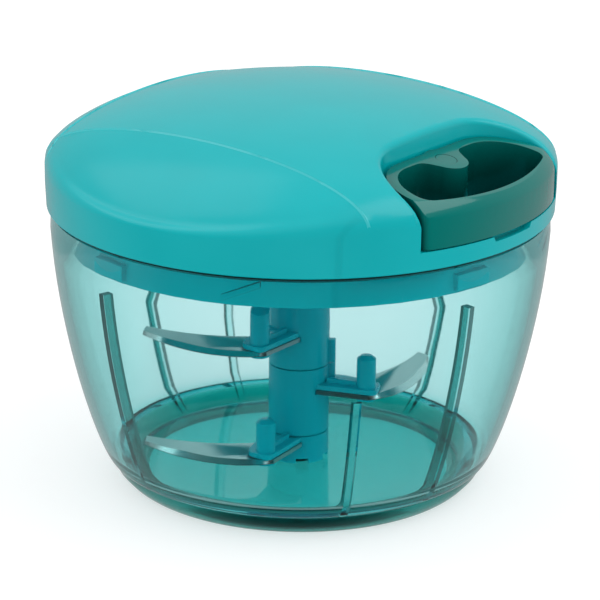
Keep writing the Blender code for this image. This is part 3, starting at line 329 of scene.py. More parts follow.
def clear_moulding(name, depth, through, roughness, low_tint_and_shade, side_tint):
    """Clear tinted styrene: it lets light through with a depth of colour (hex, per metre).

    The surface is polished, with faint flow marks 11 mm across. Its colour deepens at a
    glancing angle and on the flanks of the ribs, and low down, partly where the wall is
    thick and partly as painted shade low in the bowl.
    """
    made = bpy.data.materials.new(name)
    made.use_nodes = True
    tree = made.node_tree
    tree.nodes.clear()
    place = add(tree, "ShaderNodeTexCoord")
    marks = {"Vector": place.outputs["Object"], "Scale": 90.0, "Detail": 2.0}
    flow = add(tree, "ShaderNodeTexNoise", marks)
    polish = {"Value": flow.outputs["Fac"], "To Min": roughness * 0.5, "To Max": roughness * 1.5}
    gloss = add(tree, "ShaderNodeMapRange", polish)
    ripple = {"Height": flow.outputs["Fac"], "Strength": 0.06, "Distance": 0.2 * MM}
    swirl = add(tree, "ShaderNodeBump", ripple)
    # Low down the tint deepens, partly for the thick floor and partly as painted shade
    spot = add(tree, "ShaderNodeSeparateXYZ", {"Vector": place.outputs["Object"]})
    low = {"Value": spot.outputs["Z"], "From Min": 4.0 * MM, "From Max": 6.8 * MM}
    low.update({"To Min": 1.0, "To Max": 0.0})
    thick = add(tree, "ShaderNodeMapRange", low, interpolation_type="SMOOTHSTEP")
    angle = add(tree, "ShaderNodeLayerWeight", {"Blend": 0.5})
    glancing = add(tree, "ShaderNodeMapRange", {"Value": angle.outputs["Facing"], "From Min": 0.15})
    upper = add(tree, "ShaderNodeMix", data_type="RGBA")
    lower = add(tree, "ShaderNodeMix", data_type="RGBA")
    tree.links.new(glancing.outputs[0], upper.inputs[0])
    upper.inputs[6].default_value = linear("#ffffff")
    upper.inputs[7].default_value = linear(side_tint)
    tree.links.new(thick.outputs[0], lower.inputs[0])
    tree.links.new(upper.outputs[2], lower.inputs[6])
    lower.inputs[7].default_value = linear(low_tint_and_shade)
    flank = add(tree, "ShaderNodeAttribute", attribute_name="rib_flank")
    ribbed = add(tree, "ShaderNodeMix", data_type="RGBA")
    tree.links.new(flank.outputs["Fac"], ribbed.inputs[0])
    tree.links.new(lower.outputs[2], ribbed.inputs[6])
    ribbed.inputs[7].default_value = linear(RIB_TINT)
    body = add(
        tree,
        "ShaderNodeBsdfPrincipled",
        {
            "Base Color": ribbed.outputs[2],
            "Roughness": gloss.outputs[0],
            "IOR": 1.45,
            "Transmission Weight": 1.0,
            "Normal": swirl.outputs[0],
        },
    )
    passing = add(tree, "ShaderNodeBsdfTransparent", {"Color": linear(through)})
    path = add(tree, "ShaderNodeLightPath")
    turns = {0: path.outputs["Glossy Depth"], 1: 2.5}
    trapped = add(tree, "ShaderNodeMath", turns, operation="GREATER_THAN")
    leaving = {0: lights_only(tree, path), 1: trapped.outputs[0]}
    let_out = add(tree, "ShaderNodeMath", leaving, operation="MAXIMUM")
    skin = {0: let_out.outputs[0], 1: body.outputs[0], 2: passing.outputs[0]}
    either = add(tree, "ShaderNodeMixShader", skin)
    dye = {"Color": linear(depth[0]), "Density": depth[1]}
    inside = add(tree, "ShaderNodeVolumeAbsorption", dye)
    output = {"Surface": either.outputs[0], "Volume": inside.outputs[0]}
    add(tree, "ShaderNodeOutputMaterial", output)
    return made


# Clear styrene acrylonitrile, moulded in a polished tool: sharp reflections and a
# light teal that deepens where the eye looks through more of it, and low down with painted shade too.
clear_teal = clear_moulding("clear_san_teal", ("#3cdbdd", 165.0), "#ffffff", 0.03, "#44cfcb", "#9fe3e0")
inner_wall = [p for p in bowl_wall(BOWL_WALL) if p[1] > BOWL_FLOOR + 5 * MM]
start = inner_wall[0]
floor_edge = (start[0] - 8.5 * MM, BOWL_FLOOR)
inward = (start[0] - 5.8 * MM, BOWL_FLOOR + 0.2 * MM)
rising = (start[0] - 3 * MM, start[1] - 2 * MM)
corner = curve_between((floor_edge, inward, rising, start), 8)
rim = [(BOWL_RIM - BOWL_WALL + 0.4 * MM, BOWL_HEIGHT), (BOWL_RIM - 0.4 * MM, BOWL_HEIGHT)]
bowl_line = [(0.0, BOWL_FLOOR)] + corner[:-1] + inner_wall[:-1] + rim + bowl_wall(0.0)[::-1][1:]
bowl_line += [(44.1 * MM, BOWL_SHOULDER[1]), (42.8 * MM, 2.4 * MM)]
bowl_line += [(40.8 * MM, BOWL_UNDERSIDE), (0.0, BOWL_UNDERSIDE)]
bowl = turned("bowl_shell", bowl_line, clear_teal)


def radius_at(height, inset):
    """The wall's radius at a height."""
    line = bowl_wall(inset, 60)
    low, high = next((a, b) for a, b in zip(line, line[1:]) if b[1] >= height)
    return low[0] + (high[0] - low[0]) * (height - low[1]) / (high[1] - low[1])


def rib(name, top):
    """A tapered plate in the XZ plane that follows the inner wall."""
    begin = BOWL_SHOULDER[1] + 4 * MM
    heights = [begin + (top - begin) * i / 12 for i in range(13)]
    outer = [(radius_at(z, BOWL_WALL / 2), z) for z in heights]
    inner = [(radius_at(z, BOWL_WALL + RIB_DEPTH), z - RIB_DEPTH / 2 * (z == top)) for z in heights]
    low = (BOWL_FLOOR + BOWL_UNDERSIDE) / 2
    outline = [(floor_edge[0], low), (floor_edge[0] + 2.5 * MM, low)] + outer + inner[::-1]
    piece = flat_shape(name, outline, -RIB_WIDTH / 2, RIB_WIDTH / 2)
    piece.data.transform(Matrix.Rotation(math.radians(90), 4, "X"))
    return piece


def around_axis(piece, count, first, step, material):
    """Copies of a piece turned about Z, made by a node tree with the count and the angles as inputs."""
    tree = bpy.data.node_groups.new(piece.name + "_ring", "GeometryNodeTree")
    tree.interface.new_socket("Geometry", in_out="INPUT", socket_type="NodeSocketGeometry")
    wanted = {"Count": "Int", "First Angle": "Float", "Step Angle": "Float", "Material": "Material"}
    sockets = {}
    for label, kind in wanted.items():
        socket = tree.interface.new_socket(label, in_out="INPUT", socket_type="NodeSocket" + kind)
        sockets[label] = socket.identifier
    tree.interface.new_socket("Geometry", in_out="OUTPUT", socket_type="NodeSocketGeometry")
    given = add(tree, "NodeGroupInput")
    points = add(tree, "GeometryNodePoints", {"Count": given.outputs["Count"]})
    index = add(tree, "GeometryNodeInputIndex")
    angle = {0: index.outputs[0], 1: given.outputs["Step Angle"], 2: given.outputs["First Angle"]}
    turn = add(tree, "ShaderNodeMath", angle, operation="MULTIPLY_ADD")
    rotation = add(tree, "ShaderNodeCombineXYZ", {"Z": turn.outputs[0]})
    placed = {"Points": points.outputs[0], "Instance": given.outputs["Geometry"]}
    placed["Rotation"] = rotation.outputs[0]
    copies = add(tree, "GeometryNodeInstanceOnPoints", placed)
    real = add(tree, "GeometryNodeRealizeInstances", {"Geometry": copies.outputs[0]})
    finish = {"Geometry": real.outputs[0], "Material": given.outputs["Material"]}
    painted = add(tree, "GeometryNodeSetMaterial", finish)
    add(tree, "NodeGroupOutput", {"Geometry": painted.outputs[0]})
    modifier = piece.modifiers.new("ring", "NODES")
    modifier.node_group = tree
    modifier[sockets["Count"]] = count
    modifier[sockets["First Angle"]] = math.radians(first)
    modifier[sockets["Step Angle"]] = math.radians(step)
    modifier[sockets["Material"]] = material
    return as_plain(piece)


long_ribs = around_axis(rib("long_ribs", LONG_RIB_TOP), 4, -104, 93, clear_teal)
short_ribs = around_axis(rib("short_ribs", SHORT_RIB_TOP), 2, -39, 188, clear_teal)
ramp_outline = [(-4.5 * MM, -2.6 * MM), (4.5 * MM, 1.2 * MM), (4.5 * MM, 2.6 * MM), (-4.5 * MM, -1.1 * MM)]
ramp = flat_shape("ramps", ramp_outline, RAMP_RADIUS, BOWL_RIM - BOWL_WALL / 2)
ramp.data.transform(Matrix(((0, 0, 1, 0), (1, 0, 0, 0), (0, 1, 0, RAMP_HEIGHT), (0, 0, 0, 1))))
ramps = around_axis(ramp, 4, -66, 90, clear_teal)
boss_line = [(0, 6 * MM), (4.3 * MM, 6 * MM), (4.6 * MM, 5.7 * MM), (4.6 * MM, 2.2 * MM), (0, 2.2 * MM)]
boss = turned("pin_boss", boss_line, clear_teal, 48)
bowl = carve(bowl, [long_ribs, short_ribs, ramps, boss], "UNION")
seat = post("pin_seat", 2.15 * MM, 1.7 * MM, 9 * MM, 32, clear_teal)
bowl = carve(bowl, [seat], "DIFFERENCE")
bowl.data.set_sharp_from_angle(angle=math.radians(35))

# The ribs' side faces are marked, since the eye looks along them through more plastic
flank = bowl.data.attributes.new("rib_flank", "FLOAT", "FACE")
for face in bowl.data.polygons:
    outward = face.center.xy.normalized()
    height = face.center.z
    standing = 8 * MM < height < LONG_RIB_TOP + 1 * MM
    standing = standing and face.center.xy.length < radius_at(height, BOWL_WALL) - 0.2 * MM
    flank.data[face.index].value = float(standing and abs(outward.dot(face.normal.xy)) < 0.5)
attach(bowl, "bowl")
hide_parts("bowl")

# Foot ring
# A second moulding in a deeper tint, pressed on the bowl's foot. It is what the
# chopper stands on.
FOOT_TOP = 5.2 * MM

# The same plastic with more dye and a duller polish
deep_teal = clear_moulding("clear_san_deep_teal", ("#2bd0cb", 260.0), "#c4e6e4", 0.06, "#3fd0ca", "#3fd0ca")
foot_line = [
    (46.0 * MM, FOOT_TOP),
    (45.2 * MM, 2.9 * MM),
    (43.4 * MM, 0.9 * MM),
    (42.2 * MM, 0.0),
    (37.5 * MM, 0.0),
    (37.5 * MM, 0.6 * MM),
    (40.95 * MM, 0.6 * MM),
    (43.1 * MM, 2.25 * MM),
    (44.4 * MM, FOOT_TOP),
]
foot = turned("foot_ring_moulding", softened(foot_line, {0: 0.4 * MM, 3: 0.5 * MM}), deep_teal)
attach(foot, "bowl")
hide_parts("foot_ring")

# Centre pin
# A short stainless pin, ground bright, moulded into the bowl's floor.


def metal(name, colour, roughness, grain, along=(1.0, 1.0, 1.0)):
    """Steel whose grain, in millimetres between lines, is stretched along one axis."""
    made = bpy.data.materials.new(name)
    made.use_nodes = True
    tree = made.node_tree
    tree.nodes.clear()
    place = add(tree, "ShaderNodeTexCoord")
    stretched = add(tree, "ShaderNodeMapping", {"Vector": place.outputs["Object"], "Scale": along})
    spacing = {"Vector": stretched.outputs[0], "Scale": 1 / (grain * MM), "Detail": 3.0}
    lines = add(tree, "ShaderNodeTexNoise", spacing)
    polish = {"Value": lines.outputs["Fac"], "To Min": roughness * 0.7, "To Max": roughness * 1.4}
    gloss = add(tree, "ShaderNodeMapRange", polish)
    scratches = {"Height": lines.outputs["Fac"], "Strength": 0.25, "Distance": 0.02 * MM}
    relief = add(tree, "ShaderNodeBump", scratches)
    body = add(
        tree,
        "ShaderNodeBsdfPrincipled",
        {
            "Base Color": linear(colour),
            "Metallic": 1.0,
            "Roughness": gloss.outputs[0],
            "Normal": relief.outputs[0],
        },
    )
    add(tree, "ShaderNodeOutputMaterial", {"Surface": body.outputs[0]})
    return made


# Stainless steel, centreless ground: a bright round with a faint grain
ground_steel = metal("stainless_ground", "#c9cccd", 0.2, 0.3, (1, 1, 0.1))
pin_line = [(0, 24 * MM), (1.4 * MM, 23.8 * MM), (2 * MM, 23 * MM), (2 * MM, 2 * MM), (0, 2 * MM)]
pin = turned("centre_pin_ground", pin_line, ground_steel, 32)
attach(pin, "bowl")
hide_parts("centre_pin")

# Blade carriers
# Three mouldings in teal acrylonitrile butadiene styrene, stacked into one column
# with a seam between each. Each has an arm that a blade is riveted to.


def opaque_moulding(name, colour, roughness, depth=0.0, hollow_shade_reach=0.0):
    """Injection-moulded plastic: even colour, fine moulding texture, faint gloss changes.

    Light sinks in by the share that depth gives, and painted shade darkens the colour
    in hollows narrower than the hollow distance.
    """
    made = bpy.data.materials.new(name)
    made.use_nodes = True
    tree = made.node_tree
    tree.nodes.clear()
    place = add(tree, "ShaderNodeTexCoord")
    where = {"Vector": place.outputs["Object"], "Detail": 2.0}
    cloud = add(tree, "ShaderNodeTexNoise", {**where, "Scale": 60.0})
    grain = add(tree, "ShaderNodeTexNoise", {**where, "Scale": 2200.0})
    drift = {"Value": cloud.outputs["Fac"], "To Min": 0.94, "To Max": 1.06}
    shade = add(tree, "ShaderNodeMapRange", drift)
    dyed = {0: linear(colour)[:3], 1: shade.outputs[0]}
    base = add(tree, "ShaderNodeVectorMath", dyed, operation="MULTIPLY")
    # Painted shade: ambient occlusion darkens the colour in narrow hollows
    if hollow_shade_reach:
        nook = add(tree, "ShaderNodeAmbientOcclusion", {"Distance": hollow_shade_reach}, samples=8)
        opened = {"Value": nook.outputs["AO"], "From Min": 0.3, "From Max": 0.95, "To Min": 0.2}
        open_to = add(tree, "ShaderNodeMapRange", opened)
        darkened = {0: base.outputs[0], 1: open_to.outputs[0]}
        base = add(tree, "ShaderNodeVectorMath", darkened, operation="MULTIPLY")
    polish = {"Value": cloud.outputs["Fac"], "To Min": roughness * 0.8, "To Max": roughness * 1.2}
    gloss = add(tree, "ShaderNodeMapRange", polish)
    texture = {"Height": grain.outputs["Fac"], "Strength": 0.2, "Distance": 0.03 * MM}
    relief = add(tree, "ShaderNodeBump", texture)
    body = add(
        tree,
        "ShaderNodeBsdfPrincipled",
        {
            "Base Color": base.outputs[0],
            "Roughness": gloss.outputs[0],
            "IOR": 1.52,
            "Specular IOR Level": 0.5 if roughness < 0.15 else 0.34,
            "Normal": relief.outputs[0],
            "Subsurface Weight": depth,
            "Subsurface Radius": (0.4, 1.0, 1.0),
            "Subsurface Scale": 2.0 * MM,
        },
    )
    add(tree, "ShaderNodeOutputMaterial", {"Surface": body.outputs[0]})
    return made


def paint(node, material):
    """Gives a CAD node its finish."""
    for place in nodes[node].material_slots:
        place.material = material


def eased(node, name, edge, material):
    """A copy of a CAD node's mesh, its sharp edges rounded by a small radius as a mould's are."""
    bm = bmesh.new()
    bm.from_mesh(nodes[node].data)
    bmesh.ops.remove_doubles(bm, verts=bm.verts, dist=1e-6)
    bmesh.ops.dissolve_limit(bm, angle_limit=math.radians(1), verts=bm.verts, edges=bm.edges)
    piece = mesh_piece(name, bm, material)
    soft = piece.modifiers.new("edge", "BEVEL")
    soft.width = edge
    soft.segments = 2
    soft.limit_method = "ANGLE"
    soft.angle_limit = math.radians(50)
    soft.harden_normals = True
    bpy.context.view_layer.update()
    return as_plain(piece)


# Acrylonitrile butadiene styrene, moulded: a satin gloss, and light sinks in a little
column_abs = opaque_moulding("abs_column_teal", "#00b6c6", 0.22, 0.3)
for name in ("carrier_lower", "carrier_middle", "carrier_upper"):
    moulding = eased(name, name + "_moulding", 0.2 * MM, column_abs)
    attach(moulding, "blades")
    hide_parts(name)

# Blades
# Stamped from 1 mm stainless strip, brushed along the strip, ground bright on the
# outer edge and riveted under the arms.
BLADE_THICKNESS = 1.0 * MM
BLADE_BEVEL = 1.7 * MM
BLADE_LAND = 0.15 * MM
BLADE_REACH = 27.8 * MM
BLADE_SWEEP = 28.5 * MM
BLADE_CORNER = 19.0 * MM
BLADE_HALF = 4.6 * MM
BLADE_ROOT = 5.85 * MM
POST_REACH = 17.6 * MM
RIVET_HOLE = 1.8 * MM

# Stainless strip: brushed on its faces, and ground brighter along its cutting edge. The
# brush lines are drawn 0.25 mm apart, coarser than real ones, so that they show.
brushed_steel = metal("stainless_brushed", "#d6dada", 0.36, 0.25, (1, 0.06, 1))
ground_edge = metal("stainless_ground_edge", "#e3e6e6", 0.22, 0.2, (1, 0.3, 1))

# Height, direction of the arm and side of the sweep
BLADES = {
    "lower": (8.8 * MM, -84, -1),
    "middle": (22.0 * MM, 20, 1),
    "upper": (36.0 * MM, -90, -1),
}


def blade_outline():
    """Cutting edge, tip and back, with the arm along +X and the sweep towards +Y."""
    edge = curve_between(
        (
            (BLADE_CORNER, -BLADE_HALF),
            (BLADE_REACH - 1.0 * MM, -BLADE_HALF + 5.5 * MM),
            (BLADE_REACH + 2.0 * MM, BLADE_SWEEP - 15.0 * MM),
            (BLADE_REACH - 2.0 * MM, BLADE_SWEEP),
        ),
        40,
    )
    back = curve_between(
        (
            (BLADE_REACH - 5.2 * MM, BLADE_SWEEP + 1.6 * MM),
            (BLADE_REACH - 6.5 * MM, BLADE_SWEEP - 10.0 * MM),
            (BLADE_CORNER - 2.5 * MM, BLADE_HALF + 5.0 * MM),
            (BLADE_CORNER - 7.5 * MM, BLADE_HALF),
        ),
        30,
    )
    return [(BLADE_ROOT, -BLADE_HALF)] + edge + back + [(BLADE_ROOT, BLADE_HALF)], len(edge)


outline, edge_points = blade_outline()
for level, (height, direction, side) in BLADES.items():
    half = BLADE_THICKNESS / 2
    bm = bmesh.new()
    rings = []
    for z, inset in ((-half, 0.0), (-half + BLADE_LAND, 0.0), (half, BLADE_BEVEL)):
        ring = []
        for i, (x, y) in enumerate(outline):
            if 1 <= i <= edge_points:
                ahead = Vector(outline[i + 1]) - Vector(outline[i - 1])
                along = min((i - 1) / 8.0, 1.0) * min((edge_points - i + 1) / 12.0, 1.0)
                inward = Vector((-ahead.y, ahead.x)).normalized() * inset * along
                x, y = x + inward.x, y + inward.y
            ring.append(bm.verts.new((x, y * side, height + z)))
        rings.append(ring)
    bm.faces.new(rings[0])
    bm.faces.new(rings[-1])
    for low, high in zip(rings, rings[1:]):
        for i in range(len(low)):
            j = (i + 1) % len(low)
            face = bm.faces.new((low[i], low[j], high[j], high[i]))
            face.material_index = int(1 <= i < edge_points)
    blade = mesh_piece("blade_" + level + "_steel", bm, brushed_steel, 20)
    blade.data.materials.append(ground_edge)
    hole = post("rivet_hole", RIVET_HOLE, -1.0, 1.0, 32)
    hole.data.transform(Matrix.Translation((POST_REACH, -side * 1.4 * MM, 0)))
    blade = carve(blade, [hole], "DIFFERENCE")
    blade.data.transform(Matrix.Rotation(math.radians(direction), 4, "Z"))
    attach(blade, "blades")
    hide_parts("blade_" + level)

# Lid base
# The moulding that closes the lid. Its skirt drops into the bowl, and four lugs on
# it turn under the bowl's ramps.
SKIRT_RADIUS = 56.3 * MM
SKIRT_TOP = 68.2 * MM
SKIRT_SPREAD = 1.0 * MM
BASE_RIM_RADIUS = 58.2 * MM
base_abs = opaque_moulding("abs_base_teal", "#00bcc6", 0.22, 0.2)
lid_base = eased("lid_base", "lid_base_moulding", 0.25 * MM, base_abs)
for vert in lid_base.data.vertices:
    radius = vert.co.xy.length
    if vert.co.z < SKIRT_TOP and radius > SKIRT_RADIUS - 0.6 * MM:
        vert.co.xy *= 1 + SKIRT_SPREAD / radius

# The rim that rests on the bowl lies in a narrow gap; its faces there are painted near-black as painted
# shade
lid_base.data.materials.append(opaque_moulding("abs_base_rim_painted_shade", "#012c2e", 0.5))
for face in lid_base.data.polygons:
    in_gap = face.center.xy.length > BASE_RIM_RADIUS and face.center.z > SKIRT_TOP - 0.4 * MM
    face.material_index = int(in_gap)
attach(lid_base, "lid")
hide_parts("lid_base")

# Screws, bush, shaft, ratchet, reel and spring
# What the cord turns. It all sits inside the lid: white and grey acetal mouldings on a
# steel axle, with a blued steel strip for a spring.
# Zinc-plated steel: a dull bright grey
zinc_steel = metal("steel_zinc_plated", "#b9bcbb", 0.35, 0.5)
for i in range(4):
    paint(f"lid_screw_{i + 1}", zinc_steel)
paint("reel_axle", zinc_steel)
paint("cord_guide", ground_steel)
# Acetal: waxy, hardly glossy
grey_pom = opaque_moulding("acetal_grey", "#8f9492", 0.4)
white_pom = opaque_moulding("acetal_white", "#e6e8e4", 0.4)
for name in ("spring_cover", "clutch_pawl_1", "clutch_pawl_2", "ratchet_wheel"):
    paint(name, grey_pom)
for name in ("shaft_bush", "cord_reel", "spring_arbor"):
    paint(name, white_pom)
paint("drive_shaft", column_abs)
# Spring steel, blued by its tempering
spring_steel = metal("spring_steel_blued", "#7f8790", 0.3, 0.3, (1, 1, 0.1))
paint("recoil_spring", spring_steel)

# Cord
# Braided polyester, 1.8 mm thick. It is wound on the reel and leaves by the eyelet.
cord_fibre = opaque_moulding("polyester_braid", "#e9e9e2", 0.8)
for name in ("pull_cord", "cord_winding"):
    paint(name, cord_fibre)

# Lid cover
# One moulding in opaque teal: a dome with a flatter facet at the front, the back and
# the left, a near-vertical side, and a pocket for the handle with a rounded lip.
LID_RADIUS = 61.5 * MM
LID_EDGE_Z = 69.0 * MM
LID_SHOULDER_Z = 79.5 * MM
LID_RISE = 16.0 * MM
DOME_POWER = 0.46
LID_WALL = 2.2 * MM
FACET_EDGE = 1.2 * MM
POCKET_FLOOR = 73.5 * MM
POCKET_X = 36.2 * MM
POCKET_HALF = 28.0 * MM
POCKET_CORNER = 15.0 * MM
LIP = 1.3 * MM
CREASE_BEAD = 0.26 * MM
CREASE_HALF = 0.3 * MM
CREASE_FOOT_Z = 80.5 * MM
CORD_Z = 78.6 * MM
SCREW_CIRCLE = 48 * MM

# Which way each facet faces, how far from the axis it starts and how far its end drops
FACETS = (
    (Vector((0, -1)), 38.4 * MM, 6.3 * MM),
    (Vector((0, 1)), 38.4 * MM, 6.3 * MM),
    (Vector((-1, 0)), 43.5 * MM, 3.2 * MM),
)

# The same plastic as the column, in a satin finish; its crease has a lighter, glossier copy as a painted
# highlight
lid_abs = opaque_moulding("abs_lid_teal", "#00b0b6", 0.22)
lid_crease_highlight_abs = opaque_moulding("abs_lid_crease_painted_highlight", "#3cc0c5", 0.12)


def fallen(x, y, z, inset=0.0):
    """The height of a point of the dome once the facets and their rounded edge have dropped it."""
    here = Vector((x, y))
    height = (z - LID_SHOULDER_Z) / LID_RISE
    if height < -0.1:
        return z
    steady = min(max(height * 2.7 + 0.2, 0.0), 1.0)
    most = 0.0
    for normal, chord, drop in FACETS:
        beyond = max((here.dot(normal) - chord) / (LID_RADIUS - chord), 0.0)
        z -= drop * beyond * (0.6 + 0.4 * beyond) * steady
        most = max(most, beyond)
    edge = max(FACET_EDGE - inset * 0.8, 0.4 * MM)
    near = min(max((here.length - LID_RADIUS + inset) / edge + 1, 0.0), 1.0)
    return z - edge * (1 - math.sqrt(1 - near * near)) * min(most * 3, 1.0)


def dome_height(x, y):
    """The height of the lid's outer surface."""
    reach = min(math.hypot(x, y) / LID_RADIUS, 1.0)
    return fallen(x, y, LID_SHOULDER_Z + LID_RISE * (1 - reach * reach) ** DOME_POWER)


def dome_line(inset, count=56):
    """From the crown down to the shoulder."""
    made = []
    for i in range(count + 1):
        angle = math.radians(90 * i / count)
        rise = (LID_RISE - inset * 0.6) * max(math.cos(angle), 0.0) ** (2 * DOME_POWER)
        radius = (LID_RADIUS - inset) * math.sin(angle) if i else 0.0
        made.append((radius, LID_SHOULDER_Z - inset * 0.4 + rise))
    return made


def faceted(piece, inset=0.0, bead=0.0):
    """Drops the dome beyond each facet's chord. A fine bead stands on the crease, and its faces take the
    second material, a painted highlight.
    """
    bm = bmesh.new()
    bm.from_mesh(piece.data)
    for normal, chord, drop in FACETS:
        side = normal.to_3d()
        for step in (-1, 0, 1) if bead else (0,):
            everything = bm.verts[:] + bm.edges[:] + bm.faces[:]
            crossing = side * (chord + step * CREASE_HALF)
            bmesh.ops.bisect_plane(bm, geom=everything, plane_co=crossing, plane_no=side, dist=1e-6)
    # The crease bead's faces get the lighter material: a painted highlight
    for face in bm.faces:
        middle = face.calc_center_median()
        off = min(abs(middle.xy.dot(normal) - chord) for normal, chord, drop in FACETS)
        face.material_index = int(bead > 0 and off < CREASE_HALF and middle.z > CREASE_FOOT_Z)
    for vert in bm.verts:
        x, y, z = vert.co
        vert.co.z = fallen(x, y, z, inset)
        off = min(abs(x * normal.x + y * normal.y - chord) for normal, chord, drop in FACETS)
        if off < 2e-6 and z > CREASE_FOOT_Z:
            vert.co.z += bead
    bm.to_mesh(piece.data)
    piece.data.shade_smooth()
    piece.data.set_sharp_from_angle(angle=math.radians(30))
    bm.free()
    return piece


def rounded_plan(corners, steps=14):
    """An outline whose corners (x, y, radius) are filleted."""
    outline = []
    for i, (x, y, radius) in enumerate(corners):
        here = Vector((x, y))
        if radius == 0:
            outline.append((x, y))
            continue
        before = (Vector(corners[i - 1][:2]) - here).normalized()
        after = (Vector(corners[(i + 1) % len(corners)][:2]) - here).normalized()
        half = before.angle(after) / 2
        middle = here + (before + after).normalized() * (radius / math.sin(half))
        begin = here + before * (radius / math.tan(half)) - middle
        end = here + after * (radius / math.tan(half)) - middle
        sweep = begin.angle_signed(end)
        for k in range(steps + 1):
            outline.append(tuple(middle + Matrix.Rotation(-sweep * k / steps, 2) @ begin))
    return outline


def spread_out(outline, longest):
    """The outline with points added so that no side is longer than this."""
    made = []
    for i, point in enumerate(outline):
        ahead = outline[(i + 1) % len(outline)]
        parts = max(1, math.ceil(math.dist(point, ahead) / longest))
        across, along = ahead[0] - point[0], ahead[1] - point[1]
        made += [(point[0] + across * k / parts, point[1] + along * k / parts) for k in range(parts)]
    return made


def pocket_plan(inset, reach):
    """The pocket seen from above, open towards +X."""
    inner, half, radius = POCKET_X + inset, POCKET_HALF - inset, POCKET_CORNER - inset
    corners = [(inner, half, radius), (inner, -half, radius), (reach, -half, 0), (reach, half, 0)]
    return rounded_plan(corners)


def lipped_cutter(name):
    """The pocket's cutter. It flares just under the dome, so that the lip comes out rounded."""
    plan = spread_out(pocket_plan(0.0, 66 * MM), 1.0 * MM)
    angles = (0.3, 0.6, 0.85, 1.1, 1.3, 1.42)
    rings = [(0.0, None), (0.0, LIP)]
    rings += [(LIP * (1 - math.cos(a)), LIP * (1 - math.sin(a))) for a in angles]
    rings += [(LIP * 1.3, -LIP * 0.12), (LIP * 1.3, -40 * MM)]
    bm = bmesh.new()
    made = []
    for offset, below in rings:
        ring = []
        for i, (x, y) in enumerate(plan):
            ahead = Vector(plan[(i + 1) % len(plan)]) - Vector(plan[i - 1])
            outward = Vector((ahead.y, -ahead.x)).normalized() * offset
            spot = (x + outward.x, y + outward.y) if x < 64 * MM else (x, y + outward.y)
            z = POCKET_FLOOR if below is None else dome_height(*spot) - below
            ring.append(bm.verts.new((*spot, max(z, POCKET_FLOOR))))
        made.append(ring)
    bm.faces.new(made[0])
    for low, high in zip(made, made[1:]):
        for i in range(len(low)):
            j = (i + 1) % len(low)
            bm.faces.new((low[i], low[j], high[j], high[i]))
    for vert in made[-1]:
        vert.co.z = 130 * MM
    bm.faces.new(made[-1])
    return mesh_piece(name, bm, None)


side_line = [
    (LID_RADIUS, 75.0 * MM),
    (LID_RADIUS - 0.25 * MM, LID_EDGE_Z + 0.3 * MM),
    (LID_RADIUS - 0.55 * MM, LID_EDGE_Z),
]
cover_line = dome_line(0.0) + side_line + [(0.0, LID_EDGE_Z)]
lid_cover = turned("lid_cover_moulding", cover_line, lid_abs, 192)
lid_cover.data.materials.append(lid_crease_highlight_abs)
lid_cover = faceted(lid_cover, bead=CREASE_BEAD)
cavity_line = dome_line(LID_WALL, 24) + [(LID_RADIUS - LID_WALL, 64 * MM), (0.0, 64 * MM)]
cavity = faceted(turned("cavity", cavity_line, lid_abs, 96), LID_WALL)
wall_plan = pocket_plan(-LID_WALL + 0.2 * MM, 90 * MM)
wall = flat_shape("pocket_wall", wall_plan, POCKET_FLOOR - LID_WALL, 120 * MM)
axle_boss = post("axle_boss", 5.4 * MM, 86.3 * MM, 120 * MM)
cavity = carve(cavity, [wall, axle_boss], "DIFFERENCE")
bores = []
for degrees in (70, 130, 230, 290):
    angle = math.radians(degrees)
    spot = Vector((SCREW_CIRCLE * math.cos(angle), SCREW_CIRCLE * math.sin(angle), 0))
    screw_boss = post("screw_boss", 3.2 * MM, 68.7 * MM, 120 * MM, 32)
    screw_boss.data.transform(Matrix.Translation(spot))
    cavity = carve(cavity, [screw_boss], "DIFFERENCE")
    bores.append(post("screw_bore", 1.7 * MM, 60 * MM, 79 * MM, 24))
    bores[-1].data.transform(Matrix.Translation(spot))
bores.append(post("axle_bore", 2.8 * MM, 80 * MM, 92.3 * MM, 32))
scoop_line = [(0, 90 * MM), (9.5 * MM, 90 * MM), (8 * MM, 73.6 * MM), (7.2 * MM, 72.3 * MM), (0, 72.3 * MM)]
scoop = turned("scoop", scoop_line, None, 48)
scoop.data.transform(Matrix.Translation((62.5 * MM, 0, 0)))
along_cord = Matrix.Translation((0, 0, CORD_Z)) @ Matrix.Rotation(math.radians(90), 4, "Y")
eyelet_hole = post("eyelet_hole", 2.9 * MM, 31 * MM, 39.2 * MM, 32)
eyelet_hole.data.transform(along_cord)
openings = [cavity, lipped_cutter("pocket"), scoop, eyelet_hole] + bores
lid_cover = carve(lid_cover, openings, "DIFFERENCE")
lid_cover.data.shade_smooth()
lid_cover.data.set_sharp_from_angle(angle=math.radians(28))
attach(lid_cover, "lid")
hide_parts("lid_cover")

# Pull handle
# A glossy ring in deep teal that lies in the pocket. A boss inside it holds the
# cord's knot under a plug.
HANDLE_GAP = 1.2 * MM
HANDLE_WALL = 2.6 * MM
HANDLE_FRONT_Z = 83.0 * MM
HANDLE_FALL = 0.2
HANDLE_LOW_Z = 73.8 * MM
HANDLE_FRONT = LID_RADIUS - 0.2 * MM
HANDLE_EDGE = 1.0 * MM
BOSS_X = 42.0 * MM
BOSS_RADIUS = 5.2 * MM
BOSS_TOP = 94 * MM
PLUG_LOW_Z = 80.9 * MM

# The same plastic from a polished tool: glossy, with painted shade in the ring's depth
handle_abs = opaque_moulding("abs_handle_deep_teal", "#00756e", 0.1, hollow_shade_reach=25 * MM)


